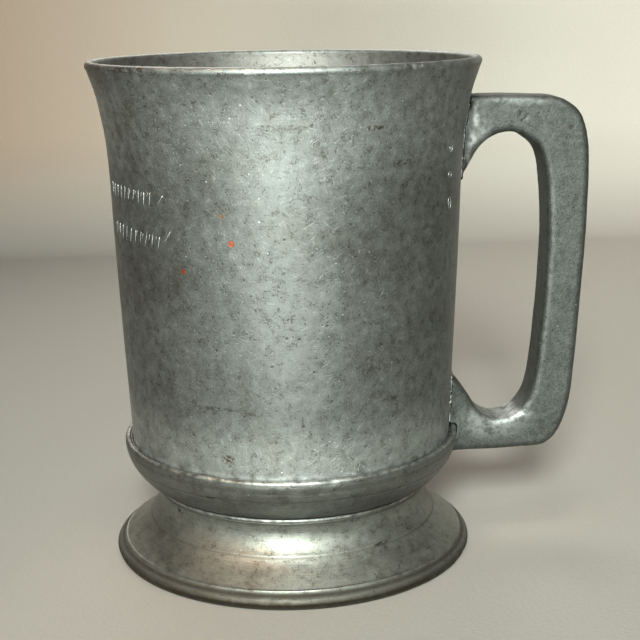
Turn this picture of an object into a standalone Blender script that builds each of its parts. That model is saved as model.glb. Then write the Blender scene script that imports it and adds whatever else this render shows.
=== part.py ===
"""A pewter pint tankard: a turned drum soldered into a base cup, a spun hollow foot and a cast handle.

Units are metres and +Z is up. The tankard stands on Z = 0 with its handle towards +X.
Every turned piece shares one vertical axis, which is set back from the origin so that the
origin lies under the middle of the whole tankard, handle included.
"""

import math

import bmesh
import bpy

# ---------------------------------------------------------------------------
# Driving dimensions
# ---------------------------------------------------------------------------
HEIGHT = 0.125             # table to the top of the lip
SOLDER_GAP = 0.0003        # clearance kept between neighbouring solids
SEGMENTS = 48              # sides of every turned piece
SHARP_ANGLE = 32           # degrees; flatter corners are shaded smooth
WELD = 0.00001             # points closer than this are one point

# Drum: a slightly tapered tube whose mouth flares out to a rounded lip
LIP_RADIUS = 0.0484
LIP_ROUND = 0.0011         # half the thickness of the rounded lip
LIP_TUCK = 0.0001          # the side starts this far inside the lip
FLARE_RADIUS = 0.0452
FLARE_Z = 0.1124
SHOULDER_RADIUS = 0.0436   # where the flare starts
SHOULDER_Z = 0.098
WAIST_RADIUS = 0.0424
WAIST_Z = 0.062
DRUM_FOOT_RADIUS = 0.0409
DRUM_FOOT_Z = 0.0270
DRUM_WALL = 0.0014

# Base cup: the bowl-shaped bottom that the drum is soldered into
CUP_LIP_Z = 0.0306
CUP_LIP_RADIUS = 0.0429
CUP_LIP_ROUND = 0.00055
CUP_LIP_DEPTH = 0.0021     # height of the upright band under the lip
SOCKET_RADIUS = DRUM_FOOT_RADIUS + 0.0005
SOCKET_TOP_Z = CUP_LIP_Z - 0.0016
CUP_BELLY_RADIUS = 0.0415
CUP_BELLY_Z = 0.0245
CUP_TUCK_RADIUS = 0.0385
CUP_TUCK_Z = 0.0208
CUP_BASE_RADIUS = 0.0353
CUP_BASE_Z = 0.0189
CUP_WALL = 0.0019
FLOOR_Z = 0.0206

# Foot: a hollow spun ring with a cove, a flange and a thick rolled edge
NECK_TOP_Z = CUP_BASE_Z - SOLDER_GAP
NECK_RADIUS = 0.0348
NECK_BEAD = 0.00060
COVE_RADIUS = 0.0344
COVE_Z = 0.0140
FILLET_RADIUS = 0.0370
FILLET_Z = 0.0097
FLANGE_RADIUS = 0.0396
FLANGE_Z = 0.0068
RIDGE_RADIUS = 0.0437
RIDGE_Z = 0.0039
EDGE_RADIUS = 0.0461
EDGE_Z = 0.0012
FOOT_WALL = 0.0016
FOOT_SOLE_OUTER = EDGE_RADIUS - 0.0007
FOOT_SOLE_WIDTH = 0.0030   # flat ring that the tankard stands on
FOOT_BORE = COVE_RADIUS - FOOT_WALL

# Handle: one cast piece, square in outline, with rounded edges
HANDLE_WIDTH = 0.0108
HANDLE_ROUND = 0.0018
HANDLE_REACH = 0.0766      # turning axis to the outer face
HANDLE_TOP_Z = 0.1152
HANDLE_BOTTOM_Z = 0.0227
TOP_BAR = 0.0096           # thickness of the bar at the top, side and bottom
SIDE_BAR = 0.0106
BOTTOM_BAR = 0.0088
ROOT_RADIUS = 0.0360       # the handle blank starts this far inside the drum

# Solder: a bead in each turned seam and a thin pad behind each end of the handle
DRUM_BEAD_Z = 0.0309
FOOT_BEAD = 0.0016
PAD_THICKNESS = 0.0005
PAD_SPREAD = 0.0012        # how far a pad shows past the handle's sides
UPPER_PAD = (0.0930, HANDLE_TOP_Z + 0.0010)        # lowest and highest point
LOWER_PAD = (DRUM_BEAD_Z + 0.0007, 0.0460)

AXIS_X = -(HANDLE_REACH - LIP_RADIUS) / 2

# Colours: base colour, metallic, roughness
PEWTER_DRUM = ((0.34, 0.35, 0.31), 0.95, 0.42)
PEWTER_CUP = ((0.32, 0.33, 0.29), 0.95, 0.40)
PEWTER_FOOT = ((0.38, 0.38, 0.34), 0.95, 0.30)
PEWTER_CAST = ((0.30, 0.32, 0.30), 0.90, 0.48)
SOLDER = ((0.48, 0.50, 0.49), 0.95, 0.35)


# ---------------------------------------------------------------------------
# Helpers
# ---------------------------------------------------------------------------
def clear_scene():
    for obj in list(bpy.data.objects):
        bpy.data.objects.remove(obj, do_unlink=True)


def new_collection(name):
    collection = bpy.data.collections.new(name)
    bpy.context.scene.collection.children.link(collection)
    return collection


def new_material(name, look):
    colour, metallic, roughness = look
    material = bpy.data.materials.new(name)
    material.use_nodes = True
    shader = material.node_tree.nodes["Principled BSDF"]
    shader.inputs["Base Color"].default_value = (*colour, 1.0)
    shader.inputs["Metallic"].default_value = metallic
    shader.inputs["Roughness"].default_value = roughness
    return material


def arc(centre_r, centre_z, radius, start_deg, end_deg, steps):
    """Points of an arc in the (radius, height) plane; 0 degrees points outwards, 90 up."""
    points = []
    for i in range(steps + 1):
        angle = math.radians(start_deg + (end_deg - start_deg) * i / steps)
        points.append((centre_r + radius * math.cos(angle), centre_z + radius * math.sin(angle)))
    return points


def smooth(stations, steps):
    """A Catmull-Rom curve through the stations, with steps points for each span."""
    padded = [stations[0]] + list(stations) + [stations[-1]]
    points = []
    for p0, p1, p2, p3 in zip(padded, padded[1:], padded[2:], padded[3:]):
        for i in range(steps):
            t = i / steps
            points.append(tuple(
                0.5 * (2 * b + (c - a) * t + (2 * a - 5 * b + 4 * c - d) * t**2
                       + (3 * b - a - 3 * c + d) * t**3)
                for a, b, c, d in zip(p0, p1, p2, p3)
            ))
    points.append(tuple(stations[-1]))
    return points


def inset(points, distance):
    """The open profile moved sideways by distance, towards the axis on an outer side."""
    moved = []
    for i, (r, z) in enumerate(points):
        before = points[max(i - 1, 0)]
        after = points[min(i + 1, len(points) - 1)]
        along = (after[0] - before[0], after[1] - before[1])
        length = math.hypot(*along)
        moved.append((r + along[1] / length * distance, z - along[0] / length * distance))
    return moved


def bake(obj):
    """Replaces the object by the mesh that its modifiers make, shaded smooth with sharp corners."""
    depsgraph = bpy.context.evaluated_depsgraph_get()
    depsgraph.update()
    mesh = bpy.data.meshes.new_from_object(obj.evaluated_get(depsgraph))
    obj.modifiers.clear()
    obj.data = mesh
    mesh.shade_smooth()
    mesh.set_sharp_from_angle(angle=math.radians(SHARP_ANGLE))


def place(obj, collection, axis, look=None):
    collection.objects.link(obj)
    obj.parent = axis
    if look:
        obj.data.materials.append(new_material(obj.name + "_pewter", look))
    else:
        obj.hide_render = True
        obj.display_type = "WIRE"


def turned(name, profile, collection, axis, look=None, closed=True):
    """A lathe-turned solid from (radius, height) points that run down its outer side."""
    mesh = bpy.data.meshes.new(name)
    edges = [(i, i + 1) for i in range(len(profile) - 1)]
    if closed:
        edges.append((len(profile) - 1, 0))
    mesh.from_pydata([(r, 0.0, z) for r, z in profile], edges, [])
    obj = bpy.data.objects.new(name, mesh)
    place(obj, collection, axis, look)
    screw = obj.modifiers.new("Turn", "SCREW")
    screw.axis = "Z"
    screw.steps = SEGMENTS
    screw.render_steps = SEGMENTS
    screw.use_merge_vertices = True
    screw.merge_threshold = WELD
    bake(obj)
    return obj


def cut(obj, cutter, operation):
    boolean = obj.modifiers.new("Cut", "BOOLEAN")
    boolean.operation = operation
    boolean.solver = "EXACT"
    boolean.object = cutter
    bake(obj)


# ---------------------------------------------------------------------------
# Profiles
# ---------------------------------------------------------------------------
def drum_side():
    """The drum's outer side, from under the lip down to its lower end."""
    return smooth([
        (LIP_RADIUS - LIP_TUCK, HEIGHT - 1.6 * LIP_ROUND),
        (FLARE_RADIUS, FLARE_Z),
        (SHOULDER_RADIUS, SHOULDER_Z),
        (WAIST_RADIUS, WAIST_Z),
        (DRUM_FOOT_RADIUS, DRUM_FOOT_Z),
    ], 3)


def cup_side():
    """The cup's outer side, from its rounded lip down to the flat base."""
    lip_r = CUP_LIP_RADIUS - CUP_LIP_ROUND
    lip = arc(lip_r, CUP_LIP_Z - CUP_LIP_ROUND, CUP_LIP_ROUND, 90, 0, 3)
    belly = smooth([
        (CUP_LIP_RADIUS, CUP_LIP_Z - CUP_LIP_DEPTH),
        (CUP_BELLY_RADIUS, CUP_BELLY_Z),
        (CUP_TUCK_RADIUS, CUP_TUCK_Z),
        (CUP_BASE_RADIUS, CUP_BASE_Z),
    ], 3)
    return lip + belly


def foot_side():
    """The foot's outer side, from the neck bead down to the flat standing edge."""
    bead = arc(NECK_RADIUS, NECK_TOP_Z - NECK_BEAD, NECK_BEAD, 90, -90, 4)
    cove = smooth([
        (NECK_RADIUS - 0.0002, NECK_TOP_Z - 2.4 * NECK_BEAD),
        (COVE_RADIUS, COVE_Z),
        (FILLET_RADIUS, FILLET_Z),
    ], 3)
    flange = smooth([
        (FILLET_RADIUS + 0.0003, FILLET_Z - 0.0006),
        (FLANGE_RADIUS, FLANGE_Z),
        (RIDGE_RADIUS, RIDGE_Z),
    ], 2)
    edge = smooth([
        (RIDGE_RADIUS + 0.0003, RIDGE_Z - 0.0005),
        (EDGE_RADIUS - 0.0004, 2 * EDGE_Z),
        (EDGE_RADIUS, EDGE_Z),
        (FOOT_SOLE_OUTER, 0.0),
    ], 2)
    return bead + cove + flange + edge


def foot_underside():
    """The hollow side of the foot, from the flat standing edge up to its bore."""
    sole_inner = FOOT_SOLE_OUTER - FOOT_SOLE_WIDTH
    return [(sole_inner, 0.0)] + smooth([
        (sole_inner - 0.0003, 0.0012),
        (FLANGE_RADIUS - 0.0010, FLANGE_Z - 0.0026),
        (FILLET_RADIUS - FOOT_WALL, FILLET_Z - 0.0016),
        (FOOT_BORE, COVE_Z),
    ], 2) + [(FOOT_BORE, NECK_TOP_Z)]


def handle_outline():
    """The handle's side view, from its upper root round the outside and back round the opening."""
    inner_x = HANDLE_REACH - SIDE_BAR
    arch_z = HANDLE_TOP_Z - TOP_BAR
    sill_z = HANDLE_BOTTOM_Z + BOTTOM_BAR
    outer = smooth([
        (ROOT_RADIUS, HANDLE_TOP_Z),
        (ROOT_RADIUS + 0.0240, HANDLE_TOP_Z - 0.0002),
        (HANDLE_REACH - 0.0064, HANDLE_TOP_Z - 0.0018),
        (HANDLE_REACH - 0.0009, HANDLE_TOP_Z - 0.0093),
        (HANDLE_REACH, 0.0857),
        (HANDLE_REACH - 0.0023, 0.0456),
        (HANDLE_REACH - 0.0044, HANDLE_BOTTOM_Z + 0.0086),
        (HANDLE_REACH - 0.0090, HANDLE_BOTTOM_Z + 0.0012),
        (HANDLE_REACH - 0.0180, HANDLE_BOTTOM_Z),
        (ROOT_RADIUS, HANDLE_BOTTOM_Z),
    ], 4)
    opening = smooth([
        (ROOT_RADIUS, 0.0505),
        (0.0418, 0.0440),
        (0.0457, 0.0388),
        (0.0492, 0.0337),
        (0.0540, sill_z),
        (inner_x - 0.0056, sill_z + 0.0029),
        (inner_x - 0.0022, 0.0450),
        (inner_x, 0.0770),
        (inner_x - 0.0014, arch_z - 0.0076),
        (inner_x - 0.0058, arch_z - 0.0015),
        (0.0548, arch_z),
        (0.0489, 0.1028),
        (0.0436, 0.0947),
        (ROOT_RADIUS, 0.0840),
    ], 4)
    return outer + opening


def radius_at(side, height):
    """The radius of a profile's side at a height."""
    for (r_high, z_high), (r_low, z_low) in zip(side, side[1:]):
        if z_low <= height <= z_high:
            share = (height - z_low) / (z_high - z_low)
            return r_low + share * (r_high - r_low)
    raise ValueError(f"the profile does not reach {height}")


# ---------------------------------------------------------------------------
# Pieces
# ---------------------------------------------------------------------------
def make_drum(parts, axis):
    outer = drum_side()
    inner = inset(outer, DRUM_WALL)[::-1]
    lip = arc(LIP_RADIUS - LIP_ROUND, HEIGHT - LIP_ROUND, LIP_ROUND, 150, 20, 5)
    lower_end = (DRUM_FOOT_RADIUS - DRUM_WALL, DRUM_FOOT_Z)
    turned("drum", lip + outer + [lower_end] + inner[1:], parts, axis, PEWTER_DRUM)


def make_base_cup(parts, axis):
    """The drum stands on a ledge inside the cup, under a lip chamfered for the solder."""
    ledge_z = DRUM_FOOT_Z - SOLDER_GAP
    bowl = smooth([
        (CUP_BASE_RADIUS - CUP_WALL, FLOOR_Z),
        (CUP_TUCK_RADIUS - 0.0011, CUP_TUCK_Z + 0.0021),
        (DRUM_FOOT_RADIUS - DRUM_WALL, ledge_z),
    ], 3)
    inside = [(0.0, FLOOR_Z)] + bowl + [(SOCKET_RADIUS, ledge_z), (SOCKET_RADIUS, SOCKET_TOP_Z)]
    base = [(0.0, CUP_BASE_Z)]
    turned("base_cup", inside + cup_side() + base, parts, axis, PEWTER_CUP, closed=False)


def make_foot(parts, axis):
    turned("foot", foot_side() + foot_underside(), parts, axis, PEWTER_FOOT)


def make_drum_seam_solder(parts, axis):
    """A bead in the groove between the drum and the cup's chamfered lip."""
    inner_r = radius_at(drum_side(), DRUM_BEAD_Z) + SOLDER_GAP
    chamfer = [(CUP_LIP_RADIUS - CUP_LIP_ROUND, CUP_LIP_Z), (SOCKET_RADIUS, SOCKET_TOP_Z)]
    (high_r, high_z), (low_r, low_z) = inset(chamfer, SOLDER_GAP)
    share = (inner_r - low_r) / (high_r - low_r)
    profile = [(inner_r, DRUM_BEAD_Z), (high_r, high_z), (inner_r, low_z + share * (high_z - low_z))]
    turned("drum_seam_solder", profile, parts, axis, SOLDER)


def make_foot_seam_solder(parts, axis):
    """A quarter-round bead inside the hollow foot, under the cup's base."""
    corner = (FOOT_BORE - SOLDER_GAP, NECK_TOP_Z)
    profile = [corner] + arc(*corner, FOOT_BEAD, -90, -180, 3)
    turned("foot_seam_solder", profile, parts, axis, SOLDER)


def handle_blank(name, collection, axis, half_width, edge_round, look=None):
    """The handle's outline as a solid; its roots run on into the drum, to be cut off there."""
    outline = handle_outline()
    curve = bpy.data.curves.new(name, "CURVE")
    curve.dimensions = "2D"
    curve.fill_mode = "BOTH"
    curve.extrude = half_width - edge_round
    curve.bevel_depth = edge_round
    curve.bevel_resolution = 1
    curve.offset = -edge_round
    spline = curve.splines.new("POLY")
    spline.points.add(len(outline) - 1)
    for point, (x, z) in zip(spline.points, outline):
        point.co = (x, z, 0.0, 1.0)
    spline.use_cyclic_u = True
    drawn = bpy.data.objects.new(name + "_outline", curve)
    collection.objects.link(drawn)
    drawn.parent = axis
    drawn.rotation_euler = (math.radians(90), 0.0, 0.0)
    depsgraph = bpy.context.evaluated_depsgraph_get()
    depsgraph.update()
    mesh = bpy.data.meshes.new_from_object(drawn.evaluated_get(depsgraph))
    weld_caps(mesh)
    obj = bpy.data.objects.new(name, mesh)
    place(obj, collection, axis, look)
    obj.matrix_world = drawn.matrix_world
    bpy.data.objects.remove(drawn)
    return obj


def weld_caps(mesh):
    bm = bmesh.new()
    bm.from_mesh(mesh)
    bmesh.ops.remove_doubles(bm, verts=bm.verts, dist=WELD)
    bmesh.ops.recalc_face_normals(bm, faces=bm.faces)
    bm.to_mesh(mesh)
    bm.free()


def envelope(name, side, clearance, cutters, axis):
    """A solid cutter that stands off a turned side by clearance."""
    outside = inset(side, -clearance)
    top = [(0.0, outside[0][1])]
    bottom = [(0.0, outside[-1][1])]
    return turned(name, top + outside + bottom, cutters, axis, closed=False)


def make_handle(parts, cutters, axis):
    handle = handle_blank("handle", parts, axis, HANDLE_WIDTH / 2, HANDLE_ROUND, PEWTER_CAST)
    stand_off = PAD_THICKNESS + 2 * SOLDER_GAP
    cut(handle, envelope("drum_envelope", drum_side(), stand_off, cutters, axis), "DIFFERENCE")
    cut(handle, envelope("cup_envelope", cup_side(), SOLDER_GAP, cutters, axis), "DIFFERENCE")


def make_handle_solder(name, limits, parts, cutters, axis):
    """A thin pad of solder between the drum and one end of the handle."""
    z_low, z_high = limits
    steps = 6
    side = drum_side()
    heights = [z_high + (z_low - z_high) * i / steps for i in range(steps + 1)]
    face = [(radius_at(side, z), z) for z in heights]
    outer = inset(face, -(SOLDER_GAP + PAD_THICKNESS))
    inner = inset(face, -SOLDER_GAP)[::-1]
    pad = turned(name, outer + inner, parts, axis, SOLDER)
    half_width = HANDLE_WIDTH / 2 + PAD_SPREAD
    cut(pad, handle_blank(name + "_limit", cutters, axis, half_width, 0.0), "INTERSECT")


def main():
    clear_scene()
    parts = new_collection("pewter_tankard")
    cutters = new_collection("cutters")
    axis = bpy.data.objects.new("turning_axis", None)
    axis.location = (AXIS_X, 0.0, 0.0)
    parts.objects.link(axis)
    bpy.context.view_layer.update()
    make_drum(parts, axis)
    make_base_cup(parts, axis)
    make_foot(parts, axis)
    make_drum_seam_solder(parts, axis)
    make_foot_seam_solder(parts, axis)
    make_handle(parts, cutters, axis)
    make_handle_solder("upper_handle_solder", UPPER_PAD, parts, cutters, axis)
    make_handle_solder("lower_handle_solder", LOWER_PAD, parts, cutters, axis)


main()
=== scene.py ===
"""A worn pewter pint tankard, standing on a pale floor under soft studio light.

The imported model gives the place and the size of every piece. This add-on gives each of them its
finished form: the turned bodies with their rounded lips, turning lines and dents, the cast handle
with its flared ends, the uneven solder, the graver cuts, and the worn pewter itself.
"""

import math

import bmesh
import bpy
import numpy as np
from mathutils import Matrix, Vector, noise


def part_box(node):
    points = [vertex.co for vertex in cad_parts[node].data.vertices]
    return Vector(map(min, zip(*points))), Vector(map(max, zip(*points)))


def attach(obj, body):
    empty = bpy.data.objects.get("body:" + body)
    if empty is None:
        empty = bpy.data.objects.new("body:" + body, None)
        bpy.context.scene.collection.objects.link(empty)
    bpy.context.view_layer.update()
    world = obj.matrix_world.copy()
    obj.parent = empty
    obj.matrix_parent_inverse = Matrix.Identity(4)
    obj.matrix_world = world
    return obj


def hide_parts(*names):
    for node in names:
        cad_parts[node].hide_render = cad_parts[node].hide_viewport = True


bl_info = {
    "name": "Pewter Tankard",
    "version": (1, 0, 0),
    "blender": (4, 5, 0),
    "location": "3D View > Sidebar > Tankard",
    "description": "Builds a worn pewter tankard from its turned, cast and soldered pieces",
    "category": "Add Mesh",
}

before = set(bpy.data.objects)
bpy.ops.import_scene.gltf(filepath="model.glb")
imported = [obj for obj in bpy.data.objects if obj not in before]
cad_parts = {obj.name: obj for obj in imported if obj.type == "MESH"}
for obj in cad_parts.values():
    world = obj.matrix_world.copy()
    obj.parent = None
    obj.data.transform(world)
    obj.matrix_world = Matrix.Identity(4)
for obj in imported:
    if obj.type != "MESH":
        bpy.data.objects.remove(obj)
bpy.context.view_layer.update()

DRUM_LOW, DRUM_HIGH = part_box("drum")
CUP_LOW, CUP_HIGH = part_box("base_cup")
FOOT_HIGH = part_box("foot")[1]
HANDLE_LOW, HANDLE_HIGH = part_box("handle")
UPPER_PAD_LOW, UPPER_PAD_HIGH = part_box("upper_handle_solder")
LOWER_PAD_LOW, LOWER_PAD_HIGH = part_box("lower_handle_solder")
AXIS_X = (DRUM_LOW.x + DRUM_HIGH.x) / 2
MM = 0.001
WELD = 0.000002                 # points of a turned piece closer than this are one point
CAMERA_BEARING = -95.2          # side that the camera looks from, in degrees from the handle
PAINTED_FALLOFF_FROM, PAINTED_FALLOFF_TO = -0.22, 0.20    # painted light falloff: the sweep is painted darker on the left and lighter to the right between these places


# ---------------------------------------------------------------------------
# Outlines: (radius, height) or (x, z) points in metres
# ---------------------------------------------------------------------------
def arc(centre_r, centre_z, radius, start_deg, end_deg, steps):
    """Points of an arc; 0 degrees points outwards and 90 degrees up."""
    points = []
    for i in range(steps + 1):
        angle = math.radians(start_deg + (end_deg - start_deg) * i / steps)
        points.append((centre_r + radius * math.cos(angle), centre_z + radius * math.sin(angle)))
    return points


def placed(r, z, offsets):
    """Outline points given in millimetres from the place (r, z)."""
    return [(r + out * MM, z + up * MM) for out, up in offsets]


def smooth(stations, spacing):
    """A Catmull-Rom curve through the stations, with points about spacing apart."""
    padded = [stations[0]] + list(stations) + [stations[-1]]
    points = []
    for p0, p1, p2, p3 in zip(padded, padded[1:], padded[2:], padded[3:]):
        steps = max(1, round(math.dist(p1, p2) / spacing))
        for i in range(steps):
            t = i / steps
            points.append(tuple(
                0.5 * (2 * b + (c - a) * t + (2 * a - 5 * b + 4 * c - d) * t**2
                       + (3 * b - a - 3 * c + d) * t**3)
                for a, b, c, d in zip(p0, p1, p2, p3)
            ))
    points.append(tuple(stations[-1]))
    return points


def inset(points, distance):
    """The open outline moved sideways by distance, towards the axis on an outer side."""
    moved = []
    for i, (r, z) in enumerate(points):
        before = points[max(i - 1, 0)]
        after = points[min(i + 1, len(points) - 1)]
        along = (after[0] - before[0], after[1] - before[1])
        length = math.hypot(*along)
        moved.append((r + along[1] / length * distance, z - along[0] / length * distance))
    return moved


def radius_at(side, height):
    """The radius of an outer side at a height."""
    for (r_high, z_high), (r_low, z_low) in zip(side, side[1:]):
        if z_low <= height <= z_high:
            share = (height - z_low) / (z_high - z_low)
            return r_low + share * (r_high - r_low)
    raise ValueError(f"the side does not reach the height {height}")


def ring_lines(side, heights, width, depth):
    """The side with shallow grooves turned into it: depth below zero leaves a raised line."""
    cut = []
    for r, z in side:
        dip = sum(math.exp(-((z - h) / width) ** 2) for h in heights)
        cut.append((r - dip * depth, z))
    return cut


def drum_side(sizes):
    """The drum's outer side, from under the lip down to its lower end."""
    lip = sizes.lip_radius
    flare = placed(lip, DRUM_HIGH.z, [
        (-0.30, -1.95), (-1.05, -4.1), (-2.25, -7.8), (-3.20, -12.6), (-4.15, -18.8),
        (-4.72, -27.0), (-5.18, -42.0), (-6.00, -63.0), (-7.10, -87.0),
    ])
    return smooth(flare + [(lip - 7.50 * MM, DRUM_LOW.z)], 1.3 * MM)


def cup_side(sizes):
    """The base cup's outer side, from its rounded lip down to the flat base."""
    lip = sizes.cup_radius
    top = CUP_HIGH.z
    round_lip = arc(lip - 0.85 * MM, top - 0.80 * MM, 0.80 * MM, 115, 0, 10)
    belly = placed(lip, top, [
        (-0.03, -1.25), (-0.10, -2.0), (-0.55, -4.0), (-1.45, -6.1), (-3.05, -8.4),
        (-4.90, -10.35), (-6.50, -11.35),
    ])
    belly = smooth(belly + [(lip - 7.60 * MM, CUP_LOW.z)], 0.30 * MM)
    lines = [top - 3.1 * MM, top - 5.3 * MM, top - 6.9 * MM]
    return round_lip + ring_lines(belly, lines, 0.16 * MM, 0.07 * MM)


def foot_side(sizes):
    """The foot's outer side: neck bead, cove, fillet, flange, ridge and rolled edge."""
    edge = sizes.foot_radius
    neck_z = FOOT_HIGH.z
    bead = arc(edge - 11.3 * MM, neck_z - 0.60 * MM, 0.60 * MM, 90, -75, 10)
    cove = smooth(placed(edge, neck_z, [
        (-11.10, -1.35), (-11.45, -2.7), (-11.55, -4.3), (-11.15, -6.0), (-10.20, -7.7), (-9.20, -8.9),
    ]), 0.35 * MM)
    flange = smooth(placed(edge, neck_z, [
        (-9.05, -9.35), (-7.90, -10.6), (-6.30, -11.9), (-4.10, -13.4), (-2.75, -14.3),
    ]), 0.35 * MM)
    ridge = arc(edge - 2.42 * MM, 3.92 * MM, 0.28 * MM, 110, 10, 5)
    band = placed(edge, 0.0, [(-2.10, 3.55), (-1.55, 3.20), (-0.75, 2.75), (-0.42, 2.45)])
    roll = arc(edge - 0.75 * MM, 1.60 * MM, 0.75 * MM, 40, -30, 7)
    heel = placed(edge, 0.0, [(-0.16, 0.95), (-0.42, 0.30), (-0.80, 0.0)])
    return bead + cove + flange + ridge + smooth(band, 0.25 * MM) + roll + smooth(heel, 0.3 * MM)


def handle_outline(sizes, spacing):
    """The handle's side view from the turning axis: round the outside, then round the opening."""
    root = 36.0 * MM
    reach = sizes.handle_reach
    top = HANDLE_HIGH.z
    bottom = HANDLE_LOW.z + 0.08 * MM
    inner_x = reach - 10.6 * MM
    arch_z = top - 9.6 * MM
    sill_z = bottom + 8.8 * MM
    outer = smooth(
        placed(root, top, [(0.0, -0.1), (10.0, -0.1), (24.0, -0.35)])
        + placed(reach, top, [(-6.4, -1.8), (-0.9, -9.3)])
        + placed(reach, 0.0, [(0.0, 85.7), (-2.3, 45.6)])
        + placed(reach, bottom, [(-4.4, 8.6), (-9.0, 1.2), (-18.0, 0.0)])
        + [(root, bottom)], spacing)
    opening = smooth(
        placed(0.0, 0.0, [(36.0, 50.5), (41.8, 44.0), (45.7, 38.8), (49.2, 33.7)])
        + [(54.0 * MM, sill_z)]
        + placed(inner_x, sill_z, [(-5.6, 2.9)])
        + placed(inner_x, 0.0, [(-2.2, 45.0), (0.0, 77.0)])
        + placed(inner_x, arch_z, [(-1.4, -7.6), (-5.8, -1.5)])
        + [(54.8 * MM, arch_z)]
        + placed(0.0, 0.0, [(48.9, 102.8), (43.6, 94.7), (36.0, 84.0)]), spacing)
    return outer + opening


# ---------------------------------------------------------------------------
# Node trees written as expressions
# ---------------------------------------------------------------------------
class Value:
    """A number socket of a node tree, so that node maths reads as an expression."""

    def __init__(self, trees, socket):
        self.trees = trees
        self.socket = socket

    def maths(self, operation, *others):
        inputs = dict(enumerate((self, *others)))
        return self.trees.node("ShaderNodeMath", {"operation": operation}, inputs).first()

    def __add__(self, other):
        return self.maths("ADD", other)

    __radd__ = __add__

    def __sub__(self, other):
        return self.maths("SUBTRACT", other)

    def __rsub__(self, other):
        return self.maths("MULTIPLY_ADD", -1.0, other)

    def __mul__(self, other):
        return self.maths("MULTIPLY", other)

    __rmul__ = __mul__

    def __truediv__(self, other):
        return self.maths("DIVIDE", other)

    def clamped(self):
        return self.ramp(0.0, 1.0, 0.0, 1.0, "LINEAR")

    def ramp(self, low, high, start=0.0, end=1.0, kind="SMOOTHSTEP"):
        """start up to low, end from high on, and a smooth change between them."""
        inputs = {0: self, 1: low, 2: high, 3: start, 4: end}
        settings = {"interpolation_type": kind}
        return self.trees.node("ShaderNodeMapRange", settings, inputs).first()


class Made:
    """A node that was just added, whose outputs are read by name."""

    def __init__(self, trees, node):
        self.trees = trees
        self.node = node

    def first(self):
        shown = [s for s in self.node.outputs if s.enabled]
        return Value(self.trees, shown[0])

    def __getitem__(self, name):
        return Value(self.trees, self.node.outputs[name])


class Tree:
    """A node tree being wired up."""

    def __init__(self, tree):
        self.tree = tree

    def node(self, kind, settings=None, inputs=None):
        """Adds any node: its settings first, then its sockets' values or links."""
        node = self.tree.nodes.new(kind)
        for name, value in (settings or {}).items():
            setattr(node, name, value)
        for key, value in (inputs or {}).items():
            socket = self.find(node, key)
            if isinstance(value, Made):
                value = value.first()
            if isinstance(value, Value):
                self.tree.links.new(value.socket, socket)
            else:
                socket.default_value = value
        return Made(self, node)

    @staticmethod
    def find(node, key):
        """An input by its number, its identifier or its name."""
        if isinstance(key, int):
            return node.inputs[key]
        for socket in node.inputs:
            if socket.identifier == key:
                return socket
        return node.inputs[key]

    def vector(self, operation, *inputs):
        return self.node("ShaderNodeVectorMath", {"operation": operation}, dict(enumerate(inputs)))

    def scaled(self, vector, scale):
        return self.node("ShaderNodeVectorMath", {"operation": "SCALE"}, {"Vector": vector, "Scale": scale})

    def combine(self, x, y, z):
        return self.node("ShaderNodeCombineXYZ", {}, {0: x, 1: y, 2: z})

    def separate(self, vector):
        parts = self.node("ShaderNodeSeparateXYZ", {}, {0: vector})
        return parts["X"], parts["Y"], parts["Z"]

    def mix(self, factor, first, second, blend="MIX"):
        settings = {"data_type": "RGBA", "blend_type": blend}
        inputs = {"Factor_Float": factor, "A_Color": first, "B_Color": second}
        return self.node("ShaderNodeMix", settings, inputs).first()


class GeometryTree(Tree):
    """A Geometry Nodes tree with named inputs, run once on an object and then applied."""

    def __init__(self, name):
        super().__init__(bpy.data.node_groups.new(name, "GeometryNodeTree"))
        self.tree.interface.new_socket("Geometry", in_out="OUTPUT", socket_type="NodeSocketGeometry")
        self.sockets = {}
        self.entry = self.tree.nodes.new("NodeGroupInput")

    def input(self, name, kind, default=None):
        socket = self.tree.interface.new_socket(name, in_out="INPUT", socket_type="NodeSocket" + kind)
        if default is not None:
            socket.default_value = default
        self.sockets[name] = socket.identifier
        return Value(self, self.entry.outputs[name])

    def store(self, geometry, name, value, domain="POINT", kind="FLOAT"):
        settings = {"domain": domain, "data_type": kind}
        inputs = {"Geometry": geometry, "Name": name, "Value": value}
        return self.node("GeometryNodeStoreNamedAttribute", settings, inputs)

    def attribute(self, name):
        return self.node("GeometryNodeInputNamedAttribute", {"data_type": "FLOAT"}, {"Name": name}).first()

    def picked(self, geometry, value, index, kind="FLOAT"):
        """What one point of another geometry holds."""
        inputs = {"Geometry": geometry, "Value": value, "Index": index}
        return self.node("GeometryNodeSampleIndex", {"data_type": kind}, inputs)

    def chance(self, least, most, seed):
        inputs = {"Min_001": least, "Max_001": most, "Seed": seed}
        return self.node("FunctionNodeRandomValue", {"data_type": "FLOAT"}, inputs)

    def wave(self, vector, seed, scale, detail):
        inputs = {"Vector": vector, "W": seed, "Scale": scale, "Detail": detail}
        return self.node("ShaderNodeTexNoise", {"noise_dimensions": "4D"}, inputs)["Fac"]

    def finish(self, geometry, material):
        """The end of every tree: real geometry, smooth shading and a material."""
        real = self.node("GeometryNodeRealizeInstances", {}, {"Geometry": geometry})
        shaded = self.node("GeometryNodeSetShadeSmooth", {}, {"Geometry": real})
        return self.node("GeometryNodeSetMaterial", {}, {"Geometry": shaded, "Material": material})

    def output(self, geometry):
        exit_node = self.tree.nodes.new("NodeGroupOutput")
        self.tree.links.new(geometry.first().socket, exit_node.inputs["Geometry"])
        return self


def helper_object(name, data):
    obj = bpy.data.objects.new(name, data)
    bpy.context.scene.collection.objects.link(obj)
    return obj


def discard(obj):
    bpy.data.objects.remove(obj, do_unlink=True)


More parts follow.
